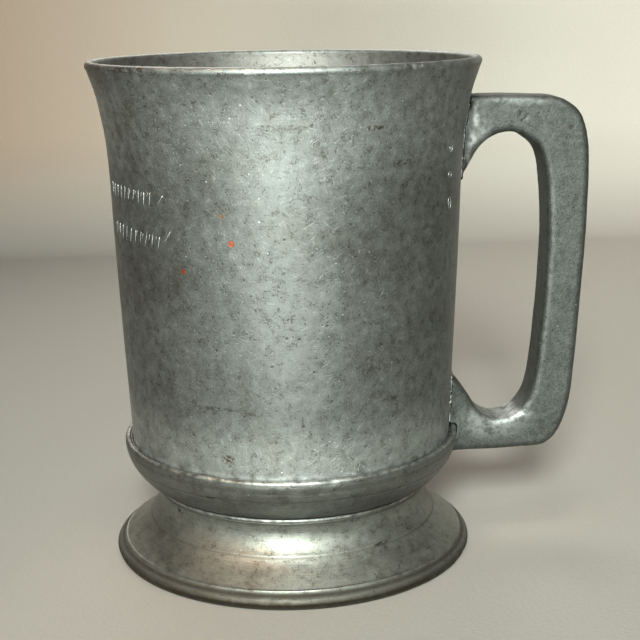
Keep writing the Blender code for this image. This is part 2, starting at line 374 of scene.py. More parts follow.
def evaluated_mesh(obj):
    """A plain mesh of the object as its modifiers or its curve settings make it."""
    depsgraph = bpy.context.evaluated_depsgraph_get()
    depsgraph.update()
    return bpy.data.meshes.new_from_object(obj.evaluated_get(depsgraph))


def run_tree(name, source, tree, values):
    """A plain mesh object made by running a geometry tree once on a source mesh."""
    obj = helper_object(name, source)
    modifier = obj.modifiers.new("Build", "NODES")
    modifier.node_group = tree.tree
    for label, value in values.items():
        modifier[tree.sockets[label]] = value
    mesh = evaluated_mesh(obj)
    obj.modifiers.remove(modifier)
    obj.data = mesh
    mesh.name = name
    return obj


# ---------------------------------------------------------------------------
# Geometry trees
# ---------------------------------------------------------------------------
def turned_body_tree():
    """Turns an outline about the tankard's axis, uneven by a little and with dents knocked in."""
    tree = GeometryTree("turned_body")
    outline = tree.input("Outline", "Geometry")
    columns = tree.input("Columns", "Int", 360)
    rows = tree.input("Rows", "Int", 2)
    wrap = tree.input("Wrap", "Int", 1)
    axis = tree.input("Axis", "Vector")
    uneven = tree.input("Unevenness", "Float", 0.0)
    waves = tree.input("Waves", "Float", 1.0)
    seed = tree.input("Seed", "Float", 0.0)
    dents = tree.input("Dents", "Object")
    inside_from = tree.input("Inside From", "Int", 0)
    inside_to = tree.input("Inside To", "Int", 0)
    outer_metal = tree.input("Outer Metal", "Material")
    inner_metal = tree.input("Inner Metal", "Material")

    grid_rows = rows + wrap
    grid = tree.node("GeometryNodeMeshGrid", {}, {"Vertices X": columns + 1.0, "Vertices Y": grid_rows})
    index = tree.node("GeometryNodeInputIndex").first()
    column = ((index + 0.5) / grid_rows).maths("FLOOR")
    row = index - column * grid_rows
    position = tree.node("GeometryNodeInputPosition")
    station = tree.picked(outline, position, (row + 0.5).maths("MODULO", rows), "FLOAT_VECTOR")
    radius, _, height = tree.separate(station)
    angle = column * (-2 * math.pi) / columns
    east = angle.maths("COSINE")
    north = angle.maths("SINE")
    wave = tree.wave(tree.combine(east, north, height * 12.0), seed, waves, 2.0)
    reach = radius * (1 + uneven * (wave - 0.5))
    place = tree.vector("ADD", tree.combine(reach * east, reach * north, height), axis)
    body = tree.node("GeometryNodeSetPosition", {}, {"Geometry": grid, "Position": place})
    body = tree.store(body, "row", row)
    row_here = tree.attribute("row")
    is_inside = row_here.maths("GREATER_THAN", inside_from) * row_here.maths("LESS_THAN", inside_to)
    body = tree.store(body, "inside", is_inside, domain="FACE")
    body = tree.node("GeometryNodeMergeByDistance", {}, {"Geometry": body, "Distance": WELD})

    dent_points = tree.node("GeometryNodeObjectInfo", {}, {"Object": dents})["Geometry"]
    nearest = tree.node("GeometryNodeSampleNearest", {"domain": "POINT"}, {
        "Geometry": dent_points,
        "Sample Position": position,
    })
    dent_centre = tree.picked(dent_points, position, nearest, "FLOAT_VECTOR")
    dent_reach = tree.picked(dent_points, tree.attribute("reach"), nearest).first()
    dent_depth = tree.picked(dent_points, tree.attribute("depth"), nearest).first()
    apart = tree.vector("DISTANCE", position, dent_centre)["Value"]
    push = (apart / dent_reach).ramp(0.0, 1.0, 1.0, 0.0) * dent_depth * -1.0
    knock = tree.scaled(tree.node("GeometryNodeInputNormal"), push)
    body = tree.node("GeometryNodeSetPosition", {}, {"Geometry": body, "Offset": knock})
    body = tree.finish(body, outer_metal)
    selected = tree.attribute("inside").maths("GREATER_THAN", 0.5)
    body = tree.node("GeometryNodeSetMaterial", {}, {
        "Geometry": body,
        "Selection": selected,
        "Material": inner_metal,
    })
    return tree.output(body)


def solder_bead_tree():
    """Runs a lumpy round bead along a path."""
    tree = GeometryTree("solder_bead")
    path = tree.input("Path", "Geometry")
    radius = tree.input("Radius", "Float", 0.0005)
    step = tree.input("Step", "Float", 0.0003)
    sides = tree.input("Sides", "Int", 12)
    lumps = tree.input("Lump Height", "Float", 0.0002)
    fineness = tree.input("Lump Fineness", "Float", 500.0)
    seed = tree.input("Seed", "Float", 0.0)
    metal = tree.input("Metal", "Material")
    curve = tree.node("GeometryNodeMeshToCurve", {}, {"Mesh": path})
    curve = tree.node("GeometryNodeResampleCurve", {"mode": "LENGTH"}, {"Curve": curve, "Length": step})
    circle = tree.node("GeometryNodeCurvePrimitiveCircle", {}, {"Resolution": sides, "Radius": radius})
    bead = tree.node("GeometryNodeCurveToMesh", {}, {
        "Curve": curve,
        "Profile Curve": circle,
        "Fill Caps": True,
    })
    wave = tree.wave(tree.node("GeometryNodeInputPosition"), seed, fineness, 3.0)
    swell = (wave - 0.5) * 2.0 * lumps
    offset = tree.scaled(tree.node("GeometryNodeInputNormal"), swell)
    bead = tree.node("GeometryNodeSetPosition", {}, {"Geometry": bead, "Offset": offset})
    return tree.output(tree.finish(bead, metal))


def stamped_row_tree():
    """Sets copies of one small stamp along rows on the drum, each turned and sized a little unlike."""
    tree = GeometryTree("stamped_row")
    rows = tree.input("Rows", "Geometry")
    stamp = tree.input("Stamp", "Object")
    count = tree.input("Count", "Int", 10)
    axis = tree.input("Axis", "Vector")
    slant = tree.input("Slant", "Float", 0.0)
    slant_spread = tree.input("Slant Spread", "Float", 0.0)
    smallest = tree.input("Smallest", "Float", 1.0)
    largest = tree.input("Largest", "Float", 1.0)
    scatter = tree.input("Scatter", "Float", 0.0)
    seed = tree.input("Seed", "Int", 0)
    metal = tree.input("Metal", "Material")
    curve = tree.node("GeometryNodeMeshToCurve", {}, {"Mesh": rows})
    curve = tree.node("GeometryNodeResampleCurve", {"mode": "COUNT"}, {"Curve": curve, "Count": count})
    outward = tree.vector("SUBTRACT", tree.node("GeometryNodeInputPosition"), axis)
    east, north, _ = tree.separate(outward)
    face = tree.combine(east, north, 0.0)
    turn = tree.node("FunctionNodeAlignRotationToVector", {"axis": "Z"}, {"Vector": face})
    turn = tree.node("FunctionNodeAlignRotationToVector", {"axis": "Y", "pivot_axis": "Z"}, {
        "Rotation": turn,
        "Vector": (0.0, 0.0, 1.0),
    })
    lean = tree.combine(0.0, 0.0, tree.chance(slant - slant_spread, slant + slant_spread, seed))
    lean = tree.node("FunctionNodeEulerToRotation", {}, {"Euler": lean})
    turn = tree.node("FunctionNodeRotateRotation", {"rotation_space": "LOCAL"}, {
        "Rotation": turn,
        "Rotate By": lean,
    })
    size = tree.chance(smallest, largest, seed + 7.0)
    copies = tree.node("GeometryNodeInstanceOnPoints", {}, {
        "Points": curve,
        "Instance": tree.node("GeometryNodeObjectInfo", {}, {"Object": stamp})["Geometry"],
        "Rotation": turn,
        "Scale": tree.combine(1.0, size, 1.0),
    })
    wander = tree.node("FunctionNodeRandomValue", {"data_type": "FLOAT_VECTOR"}, {
        "Min": (0.0, 0.0, -1.0),
        "Max": (0.0, 0.0, 1.0),
        "Seed": seed + 13.0,
    })
    drift = tree.scaled(wander, scatter)
    copies = tree.node("GeometryNodeTranslateInstances", {}, {
        "Instances": copies,
        "Translation": drift,
        "Local Space": False,
    })
    return tree.output(tree.finish(copies, metal))


# ---------------------------------------------------------------------------
# Finishes
# ---------------------------------------------------------------------------
class Finish(Tree):
    """A material being wired up around one Principled shader, centred on the turning axis."""

    def __init__(self, name):
        self.material = bpy.data.materials.new(name)
        self.material.use_nodes = True
        super().__init__(self.material.node_tree)
        self.shader = self.tree.nodes["Principled BSDF"]
        coordinates = self.node("ShaderNodeTexCoord")["Object"]
        self.place = self.mapped(coordinates, location=(-AXIS_X, 0.0, 0.0))
        self.east, self.north, self.height = self.separate(self.place)

    def mapped(self, vector, location=(0.0, 0.0, 0.0), turn=(0.0, 0.0, 0.0), scale=(1.0, 1.0, 1.0)):
        angles = tuple(math.radians(a) for a in turn)
        inputs = {"Vector": vector, "Location": location, "Rotation": angles, "Scale": scale}
        return self.node("ShaderNodeMapping", {}, inputs).first()

    def clouds(self, feature, detail=2.0, stretch=(1.0, 1.0, 1.0), turn=(0.0, 0.0, 0.0), shift=0.0):
        """Noise whose features are about that many millimetres across, from 0 to 1 about 0.5."""
        spot = self.mapped(self.place, (shift, shift, shift), turn)
        if stretch != (1.0, 1.0, 1.0):
            spot = self.mapped(spot, scale=stretch)
        inputs = {"Vector": spot, "Scale": 1000.0 / feature, "Detail": detail, "Roughness": 0.6}
        return self.node("ShaderNodeTexNoise", {}, inputs)["Fac"]

    def scratches(self, turn, width, shift, threshold):
        """Fine straight hairlines that run one way, about width millimetres wide."""
        line = self.clouds(width, 1.0, (1.0, 1.0, 0.05), turn, shift)
        return line.ramp(threshold, threshold + 0.05)

    def curls(self, feature, level, half_width, shift):
        """Fine crooked threads, where slow noise passes through a level."""
        swirl = self.clouds(feature, 2.0, shift=shift)
        return (swirl - level).maths("ABSOLUTE").ramp(0.0, half_width, 1.0, 0.0)

    def specks(self, cell, size, share, shift):
        """Ragged specks of mixed sizes up to size cells across, in that share of the cells."""
        spot = self.mapped(self.place, (shift, shift, shift))
        cells = self.node("ShaderNodeTexVoronoi", {}, {"Vector": spot, "Scale": 1000.0 / cell})
        chance = self.node("ShaderNodeSeparateColor", {}, {"Color": cells["Color"]})
        ragged = self.clouds(cell * size * 0.8, 2.0, shift=shift)
        away = cells["Distance"] / (0.35 + 0.75 * chance["Green"]) + 1.1 * size * (ragged - 0.5)
        return away.ramp(size * 0.5, size, 1.0, 0.0) * chance["Red"].ramp(1 - share, 1.01 - share)

    def band(self, height, width):
        """1 on a level ring round the axis, fading to 0 at width above and below it."""
        return (self.height - height).maths("ABSOLUTE").ramp(0.0, width, 1.0, 0.0)

    def patch(self, bearing, radius, height, half_width, half_height):
        """1 at a place on a turned side, fading to 0 at the edge of an oval."""
        angle = math.radians(bearing)
        spot = (-radius * math.cos(angle), -radius * math.sin(angle), -height)
        stretch = (1 / half_width, 1 / half_width, 1 / half_height)
        local = self.vector("MULTIPLY", self.vector("ADD", self.place, spot), stretch)
        return self.vector("LENGTH", local)["Value"].ramp(0.25, 1.0, 1.0, 0.0)

    def side_patch(self, x, z, half_width, half_height):
        """1 at a place on the handle's side view, fading to 0 at the edge of an oval."""
        across = (self.east - x) / half_width
        up = (self.height - z) / half_height
        return (across * across + up * up).maths("SQRT").ramp(0.25, 1.0, 1.0, 0.0)

    def wire(self, colour, roughness, relief, metallic, relief_height):
        """Links the finished expressions to the shader, where a relief of 1 stands relief_height high."""
        bump = self.node("ShaderNodeBump", {}, {
            "Strength": 1.0,
            "Distance": relief_height,
            "Height": relief,
        })
        linked = {"Base Color": colour, "Roughness": roughness, "Normal": bump.first()}
        for name, value in linked.items():
            self.tree.links.new(value.socket, self.shader.inputs[name])
        self.shader.inputs["Metallic"].default_value = metallic
        return self.material


def shade(colour, amount):
    return tuple(channel * amount for channel in colour[:3]) + (1.0,)


def worn_pewter(name, metal, colours, rough, painted_highlight_rings=(), bright_rings=(), dark_rings=(),
                smudges=(), spots=(), lined=0.5, pitted=0.5, scratched=0.5):
    """Old pewter: mottled grey, turning lines, pits, hairlines, tarnish in hollows, bright wear on edges and
    rings of painted highlight.
    """
    finish = Finish(name)
    tarnish = colours.tarnish
    worn = colours.worn_metal
    patches = finish.clouds(17.0, 3.0)
    mottle = finish.clouds(2.3, 5.0, shift=0.31)
    grain = finish.clouds(0.42, 3.0, shift=0.67)
    lines = finish.clouds(5.0, 3.0, (1.0, 1.0, 22.0), shift=0.12)

    tone = 0.5 + 0.6 * (patches - 0.5) + 1.05 * (mottle - 0.5) + 0.8 * (grain - 0.5)
    tone = tone + lined * 0.5 * (lines - 0.5)
    colour = finish.mix(tone.clamped(), shade(metal, 0.66), shade(metal, 1.34))
    stain = patches.ramp(0.50, 0.28) * 0.22 + mottle.ramp(0.42, 0.28) * 0.30
    colour = finish.mix(stain.clamped(), colour, shade(tarnish, 1.0))

    dark_curls = finish.curls(1.7, 0.50, 0.024, 0.43) * mottle.ramp(0.54, 0.44)
    pale_curls = finish.curls(1.9, 0.46, 0.018, 0.83) * mottle.ramp(0.50, 0.62)
    colour = finish.mix(dark_curls * 0.70, colour, shade(tarnish, 0.35))
    colour = finish.mix(pale_curls * 0.12, colour, shade(worn, 1.0))

    pits = finish.specks(1.0, 0.30, 0.34 * pitted, 0.2) * patches.ramp(0.38, 0.60)
    pits = pits + finish.specks(3.1, 0.17, 0.30 * pitted, 0.5)
    colour = finish.mix((pits * 0.6).clamped(), colour, shade(tarnish, 0.35))

    hairs = sum(finish.scratches(*hair) for hair in HAIRLINES)
    flecks = finish.specks(1.9, 0.13, 0.34, 0.8) * patches.ramp(0.60, 0.44)
    light_marks = (hairs * scratched * 0.16 + flecks * 0.70).clamped()
    colour = finish.mix(light_marks * 0.6, colour, shade(worn, 1.0))

    grit = finish.clouds(0.9, 3.0, (1.0, 1.0, 1.7), shift=0.57).ramp(0.43, 0.56)
    for *place, strength in smudges:
        mark = finish.patch(*place) * grit * strength
        colour = finish.mix(mark.clamped(), colour, shade(tarnish, 0.55))
    # painted highlight: these rings lift the colour where the lamps' highlight should run brighter
    for height, width, strength in painted_highlight_rings:
        lift = 1 + strength
        colour = finish.mix(finish.band(height, width), colour, (lift, lift, lift, 1.0), "MULTIPLY")
    ragged = 0.55 + 0.9 * mottle
    dulled = rubbed = 0.0
    for height, width, strength in dark_rings:
        ring = finish.band(height, width) * ragged * strength
        colour = finish.mix(ring.clamped(), colour, shade(tarnish, 0.40))
        dulled = ring + dulled
    for height, width, strength in bright_rings:
        rubbed = finish.band(height, width) * mottle.ramp(0.34, 0.62) * strength + rubbed
    if bright_rings:
        colour = finish.mix(rubbed.clamped(), colour, shade(worn, 1.0))
    for bearing, radius, height, size, spot_colour in spots:
        dot = finish.patch(bearing, radius, height, size, size) + 0.8 * (grain - 0.5)
        colour = finish.mix(dot.ramp(0.12, 0.55) * 0.85, colour, spot_colour)

    roughness = rough + 0.20 * (mottle - 0.5) + 0.12 * (patches - 0.5) + 0.15 * pits
    roughness = roughness + 0.20 * dulled - 0.10 * rubbed
    relief = 0.42 * grain + lined * 0.55 * lines - 0.9 * pits - scratched * 0.25 * hairs
    relief = relief + 0.8 * mottle - 0.3 * dark_curls
    return finish.wire(colour, roughness.clamped(), relief, metallic=0.93, relief_height=0.07 * MM)


def cast_pewter(name, metal, colours, rough, highlight_and_wear_patches, smudges, edge):
    """The handle's matt cast skin: grey-green, sandy, darker in its hollows, lighter on its edges from wear
    and painted highlight, and with painted highlights over rubbed wear at its ends and along its top.
    """
    finish = Finish(name)
    tarnish = colours.tarnish
    worn = colours.worn_metal
    patches = finish.clouds(12.0, 3.0, shift=0.21)
    mottle = finish.clouds(1.9, 5.0, shift=0.51)
    grain = finish.clouds(0.42, 3.0, shift=0.77)
    tone = 0.5 + 0.5 * (patches - 0.5) + 1.0 * (mottle - 0.5) + 2.0 * (grain - 0.5)
    colour = finish.mix(tone.clamped(), shade(metal, 0.58), shade(metal, 1.42))
    side = finish.north.maths("ABSOLUTE")
    # painted highlight with some handling wear: the rounded edges of the side faces turn lighter and
    # smoother
    handled = side.ramp(edge - 2.4 * MM, edge - 1.1 * MM) * side.ramp(edge + 0.05 * MM, edge - 0.5 * MM)
    handled = handled * mottle.ramp(0.36, 0.60)
    colour = finish.mix(handled * 0.025, colour, shade(worn, 1.0))
    curls = finish.curls(1.5, 0.50, 0.025, 0.43) * mottle.ramp(0.52, 0.40)
    colour = finish.mix(curls * 0.4, colour, shade(tarnish, 0.6))
    pits = finish.specks(1.6, 0.26, 0.36, 0.3) + finish.specks(3.6, 0.20, 0.35, 0.6)
    colour = finish.mix((pits * 0.65).clamped(), colour, shade(tarnish, 0.45))
    flecks = finish.specks(2.3, 0.12, 0.25, 0.45)
    colour = finish.mix(flecks * 0.6, colour, shade(worn, 1.0))
    for strength, *place in smudges:
        mark = finish.side_patch(*place) * mottle.ramp(0.40, 0.62) * strength
        colour = finish.mix(mark.clamped(), colour, shade(tarnish, 0.40))
    # painted highlights over rubbed wear: lighter, smoother patches at the handle's ends and along its top
    rubbed = 0.0
    for strength, *place in highlight_and_wear_patches:
        rubbed = finish.side_patch(*place) * strength + rubbed
    rubbed = (rubbed * mottle.ramp(0.24, 0.62)).clamped()
    colour = finish.mix(rubbed, colour, shade(worn, 1.0))
    roughness = rough + 0.16 * (mottle - 0.5) + 0.1 * (patches - 0.5) - 0.22 * rubbed - 0.1 * handled
    relief = 0.7 * grain + 1.1 * mottle - 1.0 * pits
    return finish.wire(colour, roughness.clamped(), relief, metallic=0.93, relief_height=0.09 * MM)


def rough_solder(name, metal, tarnish):
    """Bright tin solder with dark flux in its hollows."""
    finish = Finish(name)
    lumps = finish.clouds(1.1, 4.0, shift=0.35)
    grain = finish.clouds(0.3, 2.0, shift=0.15)
    tone = lumps.ramp(0.34, 0.62) * 0.8 + 0.4 * (grain - 0.5)
    colour = finish.mix(tone.clamped(), shade(tarnish, 0.45), shade(metal, 1.0))
    roughness = 0.48 - 0.22 * lumps.ramp(0.4, 0.65) + 0.1 * grain
    relief = lumps + 0.3 * grain
    return finish.wire(colour, roughness.clamped(), relief, metallic=0.95, relief_height=0.12 * MM)


def cut_metal(name, metal):
    """The clean bright metal of a graver cut or a punch's rim."""
    finish = Finish(name)
    grain = finish.clouds(0.5, 3.0, shift=0.05)
    colour = finish.mix(grain.ramp(0.35, 0.65), shade(metal, 0.62), shade(metal, 1.0))
    return finish.wire(colour, 0.30 + 0.25 * grain, grain, metallic=0.9, relief_height=0.04 * MM)


def plain_paper(name, floor_colour, wall_colour, shaded_wall_colour):
    """The pale studio sweep with a painted light falloff: floor and wall are painted darker and warmer on
    the left and lighter to the right.
    """
    finish = Finish(name)
    weave = finish.clouds(1.2, 3.0)
    drift = finish.clouds(240.0, 2.0)
    rise = finish.height.ramp(0.0, 0.07)
    # painted light falloff: wall and floor darker and warmer on the left, lighter to the right
    painted_falloff = finish.east.ramp(PAINTED_FALLOFF_FROM, PAINTED_FALLOFF_TO)
    wall = finish.mix(painted_falloff, shade(shaded_wall_colour, 1.0), shade(wall_colour, 1.0))
    floor = finish.mix(painted_falloff, shade(floor_colour, 0.76), shade(floor_colour, 1.08))
    colour = finish.mix(rise, floor, wall)
    tone = (0.5 + 0.5 * (weave - 0.5) + 0.8 * (drift - 0.5)).clamped()
    colour = finish.mix(tone, finish.mix(0.10, colour, (0.1, 0.08, 0.06, 1.0)), colour)
    return finish.wire(colour, 0.85 + 0.1 * weave, weave, metallic=0.0, relief_height=0.2 * MM)


# ---------------------------------------------------------------------------
# Shapes made in mesh code
# ---------------------------------------------------------------------------
def on_axis(bearing, radius, height):
    """A point at a bearing round the turning axis, in degrees from the handle."""
    angle = math.radians(bearing)
    return (AXIS_X + radius * math.cos(angle), radius * math.sin(angle), height)


def polyline(name, points, closed=False):
    mesh = bpy.data.meshes.new(name)
    edges = [(i, i + 1) for i in range(len(points) - 1)]
    if closed:
        edges.append((len(points) - 1, 0))
    mesh.from_pydata(points, edges, [])
    return mesh


def finished_mesh(name, bm):
    """The shape as a mesh whose faces all point outwards."""
    bmesh.ops.recalc_face_normals(bm, faces=bm.faces)
    mesh = bpy.data.meshes.new(name)
    bm.to_mesh(mesh)
    bm.free()
    return mesh


def dent_points(name, dents):
    """Points that carry how far each dent reaches and how deep it is."""
    mesh = polyline(name, [on_axis(bearing, radius, height) for bearing, radius, height, _, _ in dents])
    reach = mesh.attributes.new("reach", "FLOAT", "POINT")
    depth = mesh.attributes.new("depth", "FLOAT", "POINT")
    reach.data.foreach_set("value", [d[3] for d in dents])
    depth.data.foreach_set("value", [d[4] for d in dents])
    return helper_object(name, mesh)


def turned_body(name, outline, metals, inside, dents, wrap, columns, unevenness, waves, seed):
    """A piece turned from an outline: metals are its outer and inner finish, inside its inner rows."""
    marks = dent_points(name + "_dents", dents)
    source = polyline(name + "_outline", [(r, 0.0, z) for r, z in outline])
    body = run_tree(name, source, turned_body_tree(), {
        "Columns": columns,
        "Rows": len(outline),
        "Wrap": wrap,
        "Axis": (AXIS_X, 0.0, 0.0),
        "Unevenness": unevenness,
        "Waves": waves,
        "Seed": seed,
        "Dents": marks,
        "Inside From": inside[0],
        "Inside To": inside[1],
        "Outer Metal": metals[0],
        "Inner Metal": metals[1],
    })
    discard(marks)
    body.data.set_sharp_from_angle(angle=math.radians(50))
    return body


def solder_bead(name, path, metal, closed, radius, lump_height, lump_fineness, seed):
    """A lumpy bead of solder along a path, round a whole seam where closed."""
    source = polyline(name + "_path", path, closed)
    return run_tree(name, source, solder_bead_tree(), {
        "Radius": radius,
        "Step": 0.25 * MM,
        "Sides": 14,
        "Lump Height": lump_height,
        "Lump Fineness": lump_fineness,
        "Seed": seed,
        "Metal": metal,
    })


def lathe(name, side):
    """A closed turned cutter with that side and flat ends."""
    outline = [(0.0, side[0][1])] + side + [(0.0, side[-1][1])]
    bm = bmesh.new()
    verts = [bm.verts.new((AXIS_X + r, 0.0, z)) for r, z in outline]
    edges = [bm.edges.new(pair) for pair in zip(verts, verts[1:])]
    bmesh.ops.spin(bm, geom=verts + edges, cent=(AXIS_X, 0.0, 0.0), axis=(0.0, 0.0, 1.0),
                   angle=2 * math.pi, steps=180)
    bmesh.ops.remove_doubles(bm, verts=bm.verts, dist=WELD)
    return helper_object(name, finished_mesh(name, bm))


def applied(obj):
    """The object with its modifiers made into its mesh."""
    mesh = evaluated_mesh(obj)
    obj.modifiers.clear()
    obj.data = mesh
    return obj


def flat_bar(name, outline, half_width, edge_round):
    """A solid bar from its side view, with round edges, standing on the handle's middle plane."""
    curve = bpy.data.curves.new(name, "CURVE")
    curve.dimensions = "2D"
    curve.fill_mode = "BOTH"
    curve.extrude = half_width - edge_round
    curve.bevel_depth = edge_round
    curve.bevel_resolution = 5
    curve.offset = -edge_round
    spline = curve.splines.new("POLY")
    spline.points.add(len(outline) - 1)
    for point, (x, z) in zip(spline.points, outline):
        point.co = (x, z, 0.0, 1.0)
    spline.use_cyclic_u = True
    drawn = helper_object(name + "_drawn", curve)
    bm = bmesh.new()
    bm.from_mesh(evaluated_mesh(drawn))
    discard(drawn)
    bmesh.ops.remove_doubles(bm, verts=bm.verts, dist=0.00001)
    mesh = finished_mesh(name, bm)
    mesh.transform(Matrix.Translation((AXIS_X, 0.0, 0.0)) @ Matrix.Rotation(math.radians(90), 4, "X"))
    return helper_object(name, mesh)


def carved(obj, cutter):
    cut = obj.modifiers.new("Cut", "BOOLEAN")
    cut.operation = "DIFFERENCE"
    cut.solver = "EXACT"
    cut.object = cutter
    applied(obj)
    discard(cutter)
    return obj


def even_skin(obj, voxel):
    """The same solid with an even fine skin, which can be moved point by point."""
    remesh = obj.modifiers.new("Even", "REMESH")
    remesh.mode = "VOXEL"
    remesh.voxel_size = voxel
    remesh.use_smooth_shade = True
    ease = obj.modifiers.new("Ease", "SMOOTH")
    ease.factor = 0.5
    ease.iterations = 3
    return applied(obj)


def read_points(mesh, what="co"):
    flat = np.zeros(len(mesh.vertices) * 3, np.float32)
    mesh.vertices.foreach_get(what, flat)
    return flat.reshape(-1, 3).astype(float)


def cast_skin(mesh, side, dents, flare, flare_length):
    """Spreads the ends of the handle where they meet the drum, and makes the cast skin uneven."""
    places = read_points(mesh)
    normals = read_points(mesh, "normal")
    heights = np.array([z for _, z in side][::-1])
    radii = np.array([r for r, _ in side][::-1])
    stand_off = places[:, 0] - AXIS_X - np.interp(places[:, 2], heights, radii)
    near = np.clip(1 - stand_off / flare_length, 0, 1) ** 2
    places[:, 1] *= 1 + flare * near
    swell = [noise.noise(Vector(p) * 170.0) + 0.35 * noise.noise(Vector(p) * 700.0) for p in places]
    sink = 0.09 * MM * (np.array(swell) - 1.0)
    for x, y, z, reach, depth in dents:
        apart = np.linalg.norm(places - np.array((AXIS_X + x, y, z)), axis=1)
        near = np.clip(1 - apart / reach, 0, 1)
        sink -= depth * near * near * (3 - 2 * near)
    places += normals * sink[:, None]
    mesh.vertices.foreach_set("co", places.astype(np.float32).ravel())
    mesh.update()


# ---------------------------------------------------------------------------
# What a user can change
# ---------------------------------------------------------------------------
def length(label, description, default):
    return bpy.props.FloatProperty(name=label, description=description, default=default,
                                   subtype="DISTANCE", unit="LENGTH", precision=5)


def tint(label, description, default):
    return bpy.props.FloatVectorProperty(name=label, description=description, default=default,
                                         subtype="COLOR", size=3, min=0.0, max=1.0)


class TANKARD_PG_sizes(bpy.types.PropertyGroup):
    """Sizes of the finished pieces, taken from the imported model."""

    lip_radius: length("Lip radius", "Turning axis to the outside of the drum's lip",
                       DRUM_HIGH.x - AXIS_X - 0.08 * MM)
    drum_wall: length("Drum wall", "Thickness of the drum below its lip", 1.4 * MM)
    cup_radius: length("Cup radius", "Turning axis to the outside of the base cup's lip",
                       CUP_HIGH.x - AXIS_X)
    foot_radius: length("Foot radius", "Turning axis to the foot's rolled edge",
                        FOOT_HIGH.x - AXIS_X - 0.03 * MM)
    handle_reach: length("Handle reach", "Turning axis to the handle's outer face",
                         HANDLE_HIGH.x - AXIS_X - 0.05 * MM)
    handle_width: length("Handle width", "Thickness of the handle from side to side",
                         HANDLE_HIGH.y - HANDLE_LOW.y)
    handle_round: length("Handle edge", "Radius of the handle's rounded edges", 1.9 * MM)


class TANKARD_PG_finish(bpy.types.PropertyGroup):
    """Colours of the old pewter."""

    drum_metal: tint("Drum", "Dull grey of the drum", (0.128, 0.135, 0.124))
    inner_metal: tint("Inside", "Oxidised inside of the drum", (0.150, 0.145, 0.130))
    cup_metal: tint("Base cup", "Grey of the base cup", (0.125, 0.128, 0.115))
    foot_metal: tint("Foot", "Grey of the handled and wiped foot", (0.168, 0.171, 0.149))
    cast_metal: tint("Handle", "Grey-green of the cast handle", (0.072, 0.076, 0.069))
    tarnish: tint("Tarnish", "Brown-grey that fills hollows and pits", (0.080, 0.066, 0.045))
    worn_metal: tint("Worn edge", "Bright metal where edges are rubbed", (0.62, 0.64, 0.61))
    solder: tint("Solder", "Tin solder in the joints", (0.30, 0.325, 0.325))
    rust_spot: tint("Red spots", "The two small red-orange spots on the drum", (0.62, 0.13, 0.05))


class TANKARD_PG_stage(bpy.types.PropertyGroup):
    """Camera, light and floor."""

    camera_distance: length("Camera distance", "Camera to the turning axis, measured level", 0.33412)
    camera_height: length("Camera height", "Camera above the floor", 0.13922)
    camera_bearing: bpy.props.FloatProperty(
        name="Camera bearing", description="Side that the camera looks from, with the handle at 0",
        default=math.radians(CAMERA_BEARING), subtype="ANGLE", unit="ROTATION")
    camera_yaw: bpy.props.FloatProperty(
        name="Camera yaw", description="Turn of the camera to the right of the turning axis",
        default=math.radians(1.36), subtype="ANGLE", unit="ROTATION")
    camera_pitch: bpy.props.FloatProperty(
        name="Camera pitch", description="Turn of the camera below the horizon",
        default=math.radians(13.55), subtype="ANGLE", unit="ROTATION")
    camera_roll: bpy.props.FloatProperty(
        name="Camera roll", description="Turn of the camera about its own view line",
        default=math.radians(-0.85), subtype="ANGLE", unit="ROTATION")
    focal_length: bpy.props.FloatProperty(
        name="Focal length", description="Focal length on a sensor 36 mm wide, in millimetres",
        default=75.47, subtype="DISTANCE_CAMERA")
    floor_colour: tint("Floor", "Pale floor", (0.205, 0.190, 0.165))
    wall_colour: tint("Wall", "Pale wall on the handle's side", (0.38, 0.36, 0.305))
    # painted shade: this darker, warmer wall colour on the left stands for the light falling off there
    shaded_wall_colour: tint("Warm wall", "Warmer pale wall on the other side", (0.25, 0.175, 0.120))


# ---------------------------------------------------------------------------
# Operators: one for each piece or group of like pieces
# ---------------------------------------------------------------------------
def settle(obj, slot, *nodes):
    """Hands a finished piece to the frame."""
    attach(obj, "root")
    if nodes:
        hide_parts(*nodes)


